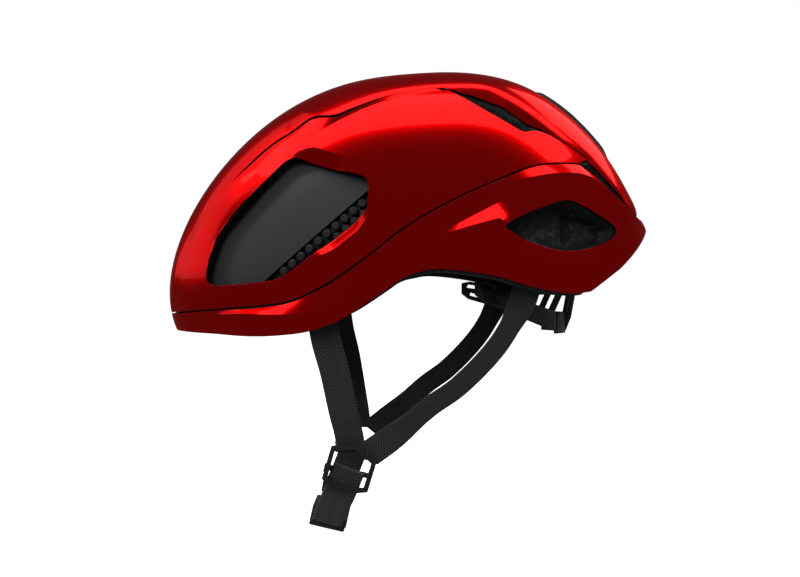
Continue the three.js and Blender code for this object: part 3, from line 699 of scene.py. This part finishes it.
def add_colours(tree, shader, factor, low, high, start=0.3, end=0.7):
    ramp_node = tree.nodes.new("ShaderNodeValToRGB")
    first, second = ramp_node.color_ramp.elements
    first.position, second.position = start, end
    first.color, second.color = (*low, 1), (*high, 1)
    tree.links.new(factor, ramp_node.inputs["Fac"])
    tree.links.new(ramp_node.outputs["Color"], shader.inputs["Base Color"])


def candy_red():
    """Metallic red lacquer with fine flakes under a hard clear coat."""
    material, tree, shader = new_material("candy_red", (0.72, 0.001, 0.001), 0.23, 1.0)
    flakes = texture(tree, "ShaderNodeTexNoise", 2600)
    dark, light = (0.66, 0.0008, 0.0008), (0.78, 0.0015, 0.0015)
    add_colours(tree, shader, flakes.outputs["Fac"], dark, light, 0.3, 0.75)
    shader.inputs["Specular Tint"].default_value = (1.0, 0.03, 0.03, 1)
    shader.inputs["Coat Weight"].default_value = 0.12
    shader.inputs["Coat Roughness"].default_value = 0.03
    return material


def beaded_foam():
    """Moulded black foam: fused beads about 3 mm wide."""
    material, tree, shader = new_material("beaded_foam", (0.012, 0.013, 0.012), 0.78)
    beads = texture(tree, "ShaderNodeTexVoronoi", 330)
    beads.feature = "SMOOTH_F1"
    bead, groove = (0.040, 0.042, 0.040), (0.012, 0.013, 0.012)
    add_colours(tree, shader, beads.outputs["Distance"], bead, groove, 0.3, 0.75)
    add_bump(tree, shader, beads.outputs["Distance"], 0.7, -0.35)
    return material


def grained(name, colour, roughness, scale, grain, metallic=0.0, detail=2.0, cells=False, more=()):
    """A plain material with a noise or cell grain of a strength and a depth in millimetres."""
    material, tree, shader = new_material(name, colour, roughness, metallic)
    kind, output = ("Voronoi", "Distance") if cells else ("Noise", "Fac")
    pattern = texture(tree, f"ShaderNodeTex{kind}", scale, detail)
    add_bump(tree, shader, pattern.outputs[output], *grain)
    for socket, value in more:
        shader.inputs[socket].default_value = value
    return material


def webbing():
    """Herringbone polyester; the mesh's UVs are millimetres across and along the strap."""
    material, tree, shader = new_material("herringbone_webbing", (0.014, 0.015, 0.015), 0.62)
    nodes, links = tree.nodes, tree.links
    uv = nodes.new("ShaderNodeUVMap")
    parts = nodes.new("ShaderNodeSeparateXYZ")
    links.new(uv.outputs["UV"], parts.inputs["Vector"])

    def maths(operation, first, second=None):
        node = nodes.new("ShaderNodeMath")
        node.operation = operation
        for slot, value in enumerate((first, second)):
            if value is None:
                continue
            if isinstance(value, (int, float)):
                node.inputs[slot].default_value = value
            else:
                links.new(value, node.inputs[slot])
        return node.outputs[0]

    zigzag = maths("PINGPONG", parts.outputs["X"], 3.75)
    phase = maths("MULTIPLY", maths("ADD", parts.outputs["Y"], zigzag), 2 * math.pi / 1.9)
    rib = maths("MULTIPLY_ADD", maths("SINE", phase), 0.5)
    across = maths("MULTIPLY", parts.outputs["X"], 2 * math.pi / 0.62)
    thread = maths("MULTIPLY", maths("SINE", across), 0.22)
    height = maths("ADD", rib, thread)
    add_colours(tree, shader, height, (0.004, 0.0043, 0.0043), (0.046, 0.047, 0.047), 0.05, 0.95)
    add_bump(tree, shader, height, 0.8, 0.3)
    shader.inputs["Sheen Weight"].default_value = 0.15
    return material


RED = candy_red()
FOAM = beaded_foam()
SATIN = grained("satin_black", (0.026, 0.027, 0.027), 0.42, 900, (0.08, 0.1),
                more=[("Specular IOR Level", 0.7)])
BLACK = grained("smooth_black", (0.003, 0.003, 0.003), 0.75, 700, (0.06, 0.1),
                more=[("Specular IOR Level", 0.08)])
NYLON = grained("moulded_nylon", (0.013, 0.0135, 0.014), 0.38, 1900, (0.25, 0.12), detail=3)
RUBBER = grained("matt_rubber", (0.010, 0.010, 0.010), 0.62, 1900, (0.25, 0.12), detail=3)
WEBBING = webbing()
KNIT = grained("knitted_pad", (0.017, 0.017, 0.019), 0.9, 900, (0.6, -0.25), cells=True,
               more=[("Sheen Weight", 0.3)])
HOOK = grained("hook_fastener", (0.008, 0.008, 0.008), 0.85, 1400, (1.0, 0.4), cells=True)
STEEL = grained("turned_steel", (0.55, 0.56, 0.58), 0.28, 3000, (0.1, 0.05), metallic=1.0)

# ---- skins ----


def on_side(function, line, sign=1.0, offset=0.0):
    """A keep function from a side-view line or outline."""

    def keep(directions):
        return sign * function(skin(directions)[:, 1:], line) - offset

    return keep


def around_cover(sign):
    """Outside (+1) or inside (-1) the window of the rear cover, in the top of the spine."""

    def keep(directions):
        points = skin(directions)
        distance = np.where(points[:, 2] > 60, outside(points[:, :2], REAR_COVER), 50.0)
        return sign * distance - GAP / 2

    return keep


def sideways(way):
    return lambda directions: 100 * way * directions[:, 0]


SPINE_BOTTOM = np.vstack([
    SPINE_CREASE[SPINE_CREASE[:, 0] < 22.0], SPINE_FOOT[SPINE_FOOT[:, 0] < 104], SLOT_TOP,
])
PANEL_BOUND = np.vstack([
    SPINE_CREASE[SPINE_CREASE[:, 0] < 22.0], PANEL_TOP[PANEL_TOP[:, 0] < 104], SLOT_TOP - [0, 0.6],
])
PANEL_FOOT = np.vstack([SEAM, SLOT_TOP + [0.5, 2.5]])
SIDES = (("left", 1), ("right", -1))


def keep_part(piece, body, slot, *nodes):
    """Let a piece ride on a body, in the place of CAD nodes."""
    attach(piece, body)
    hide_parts(*nodes)


def build_skins():
    spine_keeps = [on_side(above, SPINE_BOTTOM, offset=GAP / 2), around_cover(1)]
    crease = on_side(above, SPINE_CREASE)
    spine = panel("spine_skin", relieved(spine_relief), spine_keeps, RED, [crease])
    keep_part(spine, "helmet", "shell_red", "spine_cover")
    cover = panel("rear_cover_skin", relieved(cover_relief), [around_cover(-1)], BLACK)
    keep_part(cover, "helmet", "panel_black", "rear_cover")
    for side, way in SIDES:
        keeps = [
            sideways(way),
            on_side(above, PANEL_FOOT, offset=GAP / 2),
            on_side(above, PANEL_BOUND, sign=-1, offset=GAP / 2),
            on_side(outside, FRONT_VENT),
        ]
        creases = [
            on_side(above, STEP_LINE, offset=-0.4),
            on_side(above, STEP_LINE, offset=0.6),
            lambda directions: bevel_edge(skin(directions)[:, 1:]),
        ]
        piece = panel(f"side_skin_{side}", relieved(side_relief), keeps, RED, creases)
        keep_part(piece, "helmet", "shell_red", f"side_panel_{side}")
    lower_keeps = [
        on_side(above, np.vstack([SEAM, SLOT_BOTTOM]), sign=-1, offset=GAP / 2),
        on_side(above, RIM),
        on_side(outside, SIDE_VENT),
        outside_wheel_window,
    ]
    lines = (LEDGE_LINE, REAR_LEDGE, SCOOP_TOP, SCOOP_FOOT, BASE_LINE)
    creases = [on_side(above, line) for line in lines]
    lower = panel("lower_skin", relieved(lower_relief), lower_keeps, RED, creases)
    keep_part(lower, "helmet", "shell_red", "lower_shell")


WHEEL_CENTRE = np.array([0, 122.0, 25.0])


def outside_wheel_window(directions):
    """Distance from the window in the tail that the thumb reaches the wheel through."""
    arm = skin(directions) - WHEEL_CENTRE
    up = np.array([0, TAIL_NORMAL[2], -TAIL_NORMAL[1]])
    across = np.abs(arm[:, 0]) - 11
    along = np.abs(arm @ up) - 7
    distance = np.hypot(np.maximum(across, 0), np.maximum(along, 0)) - 4
    return np.where(arm @ TAIL_NORMAL > 0, distance, 50.0)


# ---- solids for cutting ----


def prism(points, low, high):
    """An outline in (y, z) swept along X: vertices and faces."""
    p = np.array(points, float)
    x, y = p.T
    if (x * np.roll(y, -1) - np.roll(x, -1) * y).sum() < 0:
        p = p[::-1]
    n = len(p)
    ends = []
    for level in (low, high):
        column = np.full((n, 1), float(level))
        ends.append(np.hstack([column, p]))
    faces = [tuple(range(n - 1, -1, -1)), tuple(range(n, 2 * n))]
    faces += [(i, (i + 1) % n, n + (i + 1) % n, n + i) for i in range(n)]
    return np.vstack(ends), faces


def block(low, high):
    (x0, y0, z0), (x1, y1, z1) = low, high
    return prism([(y0, z0), (y1, z0), (y1, z1), (y0, z1)], x0, x1)


def bar_along_x(radius, low, high, y, z, sides=32):
    turns = np.arange(sides) * 2 * math.pi / sides
    circle = np.column_stack([y + radius * np.cos(turns), z + radius * np.sin(turns)])
    return prism(circle, low, high)


def mirrored(shape):
    vertices, faces = shape
    return np.asarray(vertices) * [-1, 1, 1], [tuple(reversed(face)) for face in faces]


def joined(shapes):
    """Several closed shapes as one mesh."""
    vertices, faces, count = [], [], 0
    for points, polygons in shapes:
        vertices.append(np.asarray(points, float))
        faces += [tuple(int(i) + count for i in face) for face in polygons]
        count += len(points)
    return np.vstack(vertices), faces


def both_sides(shape):
    return joined([shape, mirrored(shape)])


def combine(piece, shapes, operation="DIFFERENCE"):
    """Cut closed shapes out of a piece, or join them on to it."""
    for shape in shapes:
        tool = add_mesh("tool", *shape, RUBBER)
        modifier = piece.modifiers.new("cut", "BOOLEAN")
        modifier.operation = operation
        modifier.solver = "MANIFOLD"
        modifier.object = tool
        depsgraph = bpy.context.evaluated_depsgraph_get()
        result = bpy.data.meshes.new_from_object(piece.evaluated_get(depsgraph))
        piece.modifiers.clear()
        old = piece.data
        material = old.materials[0]
        piece.data = result
        result.materials.clear()
        result.materials.append(material)
        result.polygons.foreach_set("material_index", np.zeros(len(result.polygons), np.int32))
        bpy.data.meshes.remove(old)
        bpy.data.objects.remove(tool)


def shade_by_angle(mesh, degrees=32):
    """Smooth shading that stays crisp across edges sharper than the angle."""
    mesh.polygons.foreach_set("use_smooth", np.ones(len(mesh.polygons), bool))
    work = bmesh.new()
    work.from_mesh(mesh)
    limit = math.radians(degrees)
    for edge in work.edges:
        edge.smooth = not (edge.is_manifold and edge.calc_face_angle(0) > limit)
    work.to_mesh(mesh)
    work.free()
    mesh.update()


# ---- liner ----

HEAD_CENTRE_Y = 4.0
HEAD = np.array([79.0, 104.0, 97.0])
HEAD_FLOOR = -70.0
LINER_RIM = smooth_line([
    (-150, 3), (-138, -14), (-132, -23), (-106, -23), (-52, -20.5), (-36, -16), (-26, -11.5),
    (-10, -2), (1, 4.6), (10, 7), (19, 8.4), (33, 7.4), (51, 4.5), (70, -1.2), (90, -4),
    (104, -2.6), (130, -2.4), (150, -2.4),
], 4)
DUCT = rounded_outline([(-58, 14), (-30, 35), (-24, 42), (-33, 43), (-62, 21)], 3)
SIDE_DUCT = (                         # outline and reach in x of each stretch of the side duct
    ([(86, 24.5), (104, 27), (104, 35), (86, 40)], 62, 120),
    ([(68, 27), (84, 24.5), (104, 27), (104, 35), (84, 40), (68, 37)], 62, 70),
    ([(68, 27), (84, 24.5), (84, 40), (68, 37)], 20, 70),
)
UPPER_SLOT = np.array([
    (24, 110.4), (27, 110.6), (33, 109.9), (40.5, 109.2), (48, 107.2), (55, 103.6), (63, 97.6),
    (70.5, 91.8), (76, 87.6), (72, 85), (66.4, 83.2), (63.1, 85), (56.2, 89.1), (46, 95.3),
    (39.1, 99.9), (32.2, 104.5), (26, 108.2),
])
LOWER_SLOT = np.array([
    (96.6, 67.6), (105, 69.5), (116, 60), (124.7, 52.4), (131.7, 44), (142, 43), (160, 43),
    (160, 39.2), (142, 39.2), (133.5, 40.9), (122, 48.2), (111.4, 57), (104, 62.8),
])
RECESSES = (                          # outline, depth, and how far the foam stands back from it
    (FRONT_VENT, 17.0, 4.0), (SIDE_VENT, 13.0, 0.0),
    (UPPER_SLOT, 15.0, 0.0), (LOWER_SLOT, 11.0, 0.0),
)


def head_shape():
    """The space for the head."""
    directions, triangles = geodesic(20)
    x, y, z = directions.T
    wall = np.hypot(x / HEAD[0], y / HEAD[1])
    reach = np.where(z < 0, np.maximum(wall, z / HEAD_FLOOR), np.hypot(wall, z / HEAD[2]))
    return np.column_stack([x, y, z]) / reach[:, None] + [0, HEAD_CENTRE_Y, 0], triangles


def foam_depth(directions):
    """How far the foam lies under the plain skin: it follows the skins' relief."""
    points = skin(directions)
    points[:, 0] = np.abs(points[:, 0])
    side = points[:, 1:]
    over, spine, flank = above(side, SPINE_BOTTOM), spine_relief(points), side_relief(points)
    relief = np.where(over > 1.2, spine, np.where(over < -1.2, flank, np.minimum(spine, flank)))
    relief = np.where(above(side, PANEL_FOOT) < 0, lower_relief(points), relief)
    return SHELL + 0.5 + np.maximum(-relief, 0) * 1.02 - np.maximum(relief, 0) * 0.95


def vent_distances(directions):
    side = skin(directions)[:, 1:]
    return np.array([outside(side, outline) - margin for outline, _, margin in RECESSES])


def liner_shape():
    """The foam's outer surface with its recesses, as one closed shape."""
    directions, triangles = geodesic(SKIN_DIVISIONS)
    directions, outer, inner = split(directions, triangles, lambda d: vent_distances(d).min(axis=0))
    points, normals = skin(directions), normals_of(skin, directions)
    depths = np.array([depth for _, depth, _ in RECESSES])
    recess = depths[vent_distances(directions).argmin(axis=0)]
    top = points - normals * foam_depth(directions)[:, None]
    floor = points - normals * recess[:, None]
    count = len(points)
    edges = boundary_edges(inner)
    a, b = edges.T
    walls = [np.column_stack([a, b, b + count]), np.column_stack([a, b + count, a + count])]
    faces = np.vstack([outer, inner + count, *walls])
    vertices = np.vstack([top, floor])
    used, renumbered = np.unique(faces, return_inverse=True)
    return vertices[used], renumbered.reshape(-1, 3)


def build_liner():
    liner = add_mesh("foam_liner", *liner_shape(), FOAM)
    below_rim = np.vstack([LINER_RIM, [(170, -4), (170, -170), (-170, -170), (-170, 3)]])
    cuts = [
        head_shape(),
        prism(below_rim, -140, 140),
        both_sides(prism(DUCT, 40, 120)),
        *[both_sides(prism(*duct)) for duct in SIDE_DUCT],
        both_sides(block((79.6, -50.4, -35), (88.4, -31.6, -6.6))),
        both_sides(block((70.6, 59.6, -17), (79.4, 78.4, 11.4))),
        block((-21.4, 60, -20), (21.4, 108, 38.4)),
        block((-54, 107.6, 18), (54, 112, 32)),
        both_sides(block((30, 70, 18), (54, 112.2, 32))),
        bar_along_x(10.7, -17, 17, *WHEEL_CENTRE[1:]),
        block((-15, 111.2, 19), (15, 122, 31)),
        window_shape(17, 11),
    ]
    combine(liner, cuts)
    shade_by_angle(liner.data, 34)
    keep_part(liner, "helmet", "foam_black", "liner")


def window_shape(half_width, half_height):
    """A block that runs out of the tail from the scroll wheel."""
    vertices, faces = block((-half_width, -half_height, 0), (half_width, half_height, 36))
    up = np.array([0, TAIL_NORMAL[2], -TAIL_NORMAL[1]])
    turned = vertices[:, :1] * [1, 0, 0] - vertices[:, 1:2] * up + vertices[:, 2:] * TAIL_NORMAL
    return turned + WHEEL_CENTRE, faces


# ---- front ducts ----

DIAGONAL = np.array([(-90, -9.5), (-80, -1), (-66, 11.6), (-19.8, 51.4), (-8, 61.5)])
BLOCK = {"radius": 2.45, "pitch": 6.3, "top": 7.0, "floor": 12.4}
PEG_PROFILE = [                       # share of the radius, and depth under the skin
    (1.0, BLOCK["floor"] + 1), (1.0, BLOCK["top"] + 1.0), (0.93, BLOCK["top"] + 0.45),
    (0.78, BLOCK["top"] + 0.12), (0.5, BLOCK["top"]),
]
PEG_SIDES = 20


def seen_in_vent(surface, margin):
    """A keep function for what the front vent's outline, a little larger, frames from the side."""
    return lambda directions: margin - outside(surface(directions)[:, 1:], FRONT_VENT)


def under_skin(depth):
    """The plain skin's parallel surface at a depth."""
    return lambda directions: skin(directions) - normals_of(skin, directions) * depth


duct_surface = under_skin(7.6)
block_floor = under_skin(BLOCK["floor"])


def skin_at(y, z):
    """The point of the plain left flank that is seen at (y, z) from the side."""
    y_arm, z_arm = y - HEART[1], z - HEART[2]
    share = math.hypot(y_arm, z_arm) / float(midplane_reach(math.atan2(z_arm, -y_arm)))
    return np.array([HALF_WIDTH * (1 - share**ROUNDNESS) ** (1 / ROUNDNESS), y, z])


def peg(centre, way):
    """A round-topped crumple block standing on the strip's floor."""
    point = skin_at(*centre)
    normal = normals_of(skin, unit((point - HEART)[None]))[0]
    u, v = (side[0] for side in tangents(normal[None]))
    n = PEG_SIDES
    turns = np.arange(n) * 2 * math.pi / n
    rings, faces = [], []
    for share, depth in PEG_PROFILE:
        ring = share * BLOCK["radius"] * (np.cos(turns)[:, None] * u + np.sin(turns)[:, None] * v)
        rings.append(point - normal * depth + ring)
    for k in range(len(PEG_PROFILE) - 1):
        for i in range(n):
            j = (i + 1) % n
            faces.append((n * k + i, n * k + j, n * k + n + j, n * k + n + i))
    faces.append(tuple(range(n - 1, -1, -1)))
    faces.append(tuple(range(n * len(PEG_PROFILE) - n, n * len(PEG_PROFILE))))
    vertices = np.vstack(rings)
    if np.cross(u, v) @ normal < 0:
        faces = [tuple(reversed(face)) for face in faces]
    return mirrored((vertices, faces)) if way < 0 else (vertices, faces)


def build_ducts():
    start, end = DIAGONAL[2], DIAGONAL[3]
    along = (end - start) / np.hypot(*(end - start))
    down = np.array([along[1], -along[0]])
    centres = []
    for row in range(3):
        for place in range(12):
            run = (place - 2 + (row % 2) / 2) * BLOCK["pitch"]
            centre = start + along * run + down * (3.4 + row * BLOCK["pitch"] * 0.82)
            if outside(centre[None], FRONT_VENT)[0] < -1.2:
                centres.append(centre)
    for side, way in SIDES:
        keeps = [sideways(way), seen_in_vent(duct_surface, 2.6), on_side(above, DIAGONAL)]
        duct = panel(f"duct_skin_{side}", duct_surface, keeps, SATIN)
        keep_part(duct, "helmet", "panel_black", f"duct_panel_{side}")
        keeps = [
            sideways(way),
            seen_in_vent(block_floor, 1.6),
            on_side(above, DIAGONAL + [0, 8.0], sign=-1),
        ]
        strip = panel(f"crumple_blocks_{side}", block_floor, keeps, NYLON)
        combine(strip, [joined([peg(centre, way) for centre in centres])], "UNION")
        shade_by_angle(strip.data)
        keep_part(strip, "helmet", "foam_black", f"block_strip_{side}")


# ---- webbing ----


STRAP_STEPS = 240


def curve_points(points, count):
    """Evenly spaced places along a centripetal Catmull-Rom curve."""
    p = [np.array(point, float) for point in points]
    p = [2 * p[0] - p[1], *p, 2 * p[-1] - p[-2]]
    dense = []
    for i in range(1, len(p) - 2):
        a, b, c, d = p[i - 1: i + 3]
        t1, t2, t3 = (np.linalg.norm(v) ** 0.5 for v in (b - a, c - b, d - c))
        start = ((b - a) / t1 - (c - a) / (t1 + t2) + (c - b) / t2) * t2
        end = ((c - b) / t2 - (d - b) / (t2 + t3) + (d - c) / t3) * t2
        for t in np.linspace(0, 1, 60, endpoint=False):
            rest = (-3 * b + 3 * c - 2 * start - end) * t**2 + (2 * b - 2 * c + start + end) * t**3
            dense.append(b + start * t + rest)
    dense.append(p[-2])
    dense = np.array(dense)
    lengths = np.concatenate([[0], np.cumsum(np.linalg.norm(np.diff(dense, axis=0), axis=1))])
    at = np.linspace(0, lengths[-1], count)
    return np.column_stack([np.interp(at, lengths, dense[:, k]) for k in range(3)]), lengths[-1]


def ribbon(name, points, width, thickness, across_of, way=1, part=(0, 1), lift=0.0):
    """Flat webbing with thin woven edges along a curve. Its UVs are in millimetres."""
    path, length = curve_points(points, STRAP_STEPS + 1)
    tangent = unit(np.gradient(path, axis=0))
    first, last = (round(share * STRAP_STEPS) for share in part)
    path, tangent = path[first: last + 1], tangent[first: last + 1]
    across = across_of(tangent)
    across = unit(across - (across * tangent).sum(1)[:, None] * tangent)
    face = np.cross(across, tangent)
    path = path + face * lift
    half, thin = width / 2, thickness / 2
    edge = [
        (-half, 0), (-half + 0.15, -0.62 * thin), (-half + 0.7, -0.8 * thin), (-half + 1.5, -thin),
    ]
    middle = [(x, -thin) for x in np.linspace(-half + 3, half - 3, 5)]
    under = edge + middle + [(-x, z) for x, z in reversed(edge)]
    profile = np.array(under + [(x, -z) for x, z in reversed(under[1:-1])])
    n = len(profile)
    rings = path[:, None] + across[:, None] * profile[None, :, :1]
    rings = rings + face[:, None] * profile[None, :, 1:]
    vertices = rings.reshape(-1, 3)
    if way < 0:
        vertices = vertices * [-1, 1, 1]
    faces, uvs = [], []
    run = np.linspace(part[0], part[1], len(path)) * length
    turned = way < 0
    for k in range(len(path) - 1):
        for i in range(n):
            j = (i + 1) % n
            quad = [k * n + i, k * n + j, (k + 1) * n + j, (k + 1) * n + i]
            left, right = profile[i][0], profile[j][0]
            spots = [(left, run[k]), (right, run[k]), (right, run[k + 1]), (left, run[k + 1])]
            faces.append(tuple(reversed(quad)) if not turned else tuple(quad))
            uvs += list(reversed(spots)) if not turned else spots
    for start, run_at, flip in ((0, run[0], turned), (len(vertices) - n, run[-1], not turned)):
        cap = list(range(start, start + n))
        spots = [(x, run_at) for x, _ in profile]
        faces.append(tuple(cap if not flip else reversed(cap)))
        uvs += spots if not flip else list(reversed(spots))
    mesh = bpy.data.meshes.new(name)
    mesh.from_pydata((vertices * MM).tolist(), [], faces)
    layer = mesh.uv_layers.new(name="UVMap")
    layer.data.foreach_set("uv", (np.array(uvs) + [width / 2, 0]).ravel())
    mesh.materials.append(WEBBING)
    mesh.update()
    shade_by_angle(mesh, 60)
    piece = bpy.data.objects.new(name, mesh)
    bpy.context.scene.collection.objects.link(piece)
    return piece


FRONT_STRAP = [
    (84, -41, -15.4), (82, -39, -28), (77, -35, -44), (68, -30.5, -68), (59.5, -28.2, -80),
    (56.4, -27.4, -86), (56.4, -27.4, -90.4),
]
REAR_STRAP = [
    (74.8, 68.2, 1.2), (74, 65.4, -7.6), (72, 52.8, -30.4), (70, 31.9, -52.7), (68, 16.8, -63.7),
    (64, 0, -78.2), (57, -17, -91.2),
]
CHIN_STRAP = [
    (57, -28, -99.4), (56.6, -31.2, -107.5), (53, -34.2, -115), (45, -37, -121.4),
    (27.9, -42, -134.8),
]
BUCKLE_TILT = math.radians(-13)


def along_y(tangent):
    return np.tile([0, 1.0, 0], (len(tangent), 1))


def along_buckle(tangent):
    return np.tile([0, math.cos(BUCKLE_TILT), math.sin(BUCKLE_TILT)], (len(tangent), 1))


def flat_to_cheek(tangent):
    """Flat to the side at both ends, and turned towards the cheek between them."""
    across = unit(np.cross(tangent, [-1.0, 0, 0]))
    share = np.linspace(0, 1, len(tangent))
    turn = math.radians(38) * bump(share, 0.02, 0.2, 0.72, 0.98)
    return across * np.cos(turn)[:, None] + np.cross(across, tangent) * np.sin(turn)[:, None]


def build_webbing():
    for side, way in SIDES:
        front = ribbon(f"front_webbing_{side}", FRONT_STRAP, 16, 1.6, along_y, way)
        keep_part(front, "helmet", "webbing_black", f"front_strap_{side}")
        rear = ribbon(f"rear_webbing_{side}", REAR_STRAP, 15, 1.6, flat_to_cheek, way)
        keep_part(rear, "helmet", "webbing_black", f"rear_strap_{side}")
        chin = ribbon(f"chin_webbing_{side}", CHIN_STRAP, 18, 2.4, along_buckle, way)
        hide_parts(f"chin_strap_{side}")
        if way > 0:
            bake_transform(chin)
        else:
            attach(chin, "helmet")
    tail = ribbon("loose_webbing_end", CHIN_STRAP, 15, 1.4, along_buckle, -1, (0.36, 0.97), -3.2)
    keep_part(tail, "helmet", "webbing_black", "strap_tail")


# ---- pads ----


CLOTH_FRAMES = 12
WELD = 1e-5


def pad(name, node, body, swell, axis, spacing):
    """A padded liner piece: its CAD solid, swollen by cloth pressure and sewn along one axis."""
    source = bpy.data.objects[node]
    mesh = source.data.copy()
    mesh.name = name
    mesh.materials.clear()
    mesh.materials.append(KNIT)
    piece = bpy.data.objects.new(name, mesh)
    bpy.context.scene.collection.objects.link(piece)
    weld = piece.modifiers.new("weld", "WELD")
    weld.merge_threshold = WELD
    shrink = piece.modifiers.new("shrink", "DISPLACE")
    shrink.strength = -0.5 * MM
    shrink.mid_level = 0.0
    remesh = piece.modifiers.new("remesh", "REMESH")
    remesh.mode = "VOXEL"
    remesh.voxel_size = 2.2 * MM
    apply_modifiers(piece)
    start = coordinates_of(piece.data)
    cloth = piece.modifiers.new("cloth", "CLOTH")
    cloth.settings.use_pressure = True
    cloth.settings.uniform_pressure_force = 4
    cloth.settings.effector_weights.gravity = 0
    cloth.point_cache.frame_start, cloth.point_cache.frame_end = 1, CLOTH_FRAMES
    for number in range(1, CLOTH_FRAMES + 1):
        bpy.context.scene.frame_set(number)
    apply_modifiers(piece)
    bpy.context.scene.frame_set(1)
    moved = coordinates_of(piece.data) - start
    size = np.linalg.norm(moved, axis=1, keepdims=True)
    moved *= np.minimum(1, swell * MM / np.maximum(size, 1e-9))
    points = start + moved
    centre = points.mean(0)
    offset = (points[:, axis] - centre[axis]) / (spacing * MM)
    depth = np.exp(-((offset - np.round(offset)) * spacing / 1.3) ** 2)
    normals = np.empty(3 * len(points), np.float32)
    piece.data.vertices.foreach_get("normal", normals)
    points = points - normals.reshape(-1, 3) * (0.9 * MM * depth)[:, None]
    piece.data.vertices.foreach_set("co", points.ravel())
    finer = piece.modifiers.new("finer", "SUBSURF")
    finer.levels = finer.render_levels = 1
    apply_modifiers(piece)
    piece.data.polygons.foreach_set("use_smooth", np.ones(len(piece.data.polygons), bool))
    keep_part(piece, body, "pad_black", node)


def coordinates_of(mesh):
    values = np.empty(3 * len(mesh.vertices))
    mesh.vertices.foreach_get("co", values)
    return values.reshape(-1, 3)


def apply_modifiers(piece):
    depsgraph = bpy.context.evaluated_depsgraph_get()
    result = bpy.data.meshes.new_from_object(piece.evaluated_get(depsgraph))
    piece.modifiers.clear()
    piece.data = result


def build_pads():
    pad("padded_brow", "brow_pad", "helmet", 1.4, 0, 24)
    pad("padded_crown", "crown_pad", "helmet", 1.4, 1, 27)
    for side, _ in SIDES:
        pad(f"padded_side_{side}", f"side_pad_{side}", "helmet", 1.2, 1, 20)
    pad("padded_nape", "cradle_pad", "cradle", 0.9, 0, 14)


# ---- moulded and turned nodes that keep their CAD shape ----


def pair(name):
    return [f"{name}_{side}" for side, _ in SIDES]


FINISHES = {
    NYLON: [
        *pair("front_anchor"), *pair("rear_anchor"), *pair("divider"), "buckle_socket",
        "buckle_plug", "prong_rear", "prong_front", "cradle_frame", *pair("cradle_arm"),
        "front_band", *pair("band_rivet"), "height_rack", "scroll_bracket", *pair("belt"),
    ],
    RUBBER: ["strap_keeper", "scroll_wheel"],
    STEEL: [*pair("rack_screw"), "scroll_axle"],
    HOOK: ["brow_hook", "crown_hook", *pair("side_hook")],
}
EDGE_RADIUS = {
    "divider_left": 0.35, "divider_right": 0.35, "buckle_socket": 0.9, "buckle_plug": 0.9,
    "scroll_wheel": 0.3,
}


def finish_nodes():
    for material, nodes in FINISHES.items():
        for node in nodes:
            piece = bpy.data.objects[node]
            for slot in piece.material_slots:
                slot.material = material
            if material is HOOK:
                continue
            piece.data.polygons.foreach_set("use_smooth", np.ones(len(piece.data.polygons), bool))
            weld = piece.modifiers.new("weld", "WELD")
            weld.merge_threshold = WELD
            bevel = piece.modifiers.new("bevel", "BEVEL")
            bevel.width = EDGE_RADIUS.get(node, 0.25) * MM
            bevel.segments = 2
            bevel.limit_method = "ANGLE"
            bevel.angle_limit = math.radians(38)
            bevel.harden_normals = True
            bevel.use_clamp_overlap = True


build_skins()
build_liner()
build_ducts()
build_webbing()
build_pads()
finish_nodes()
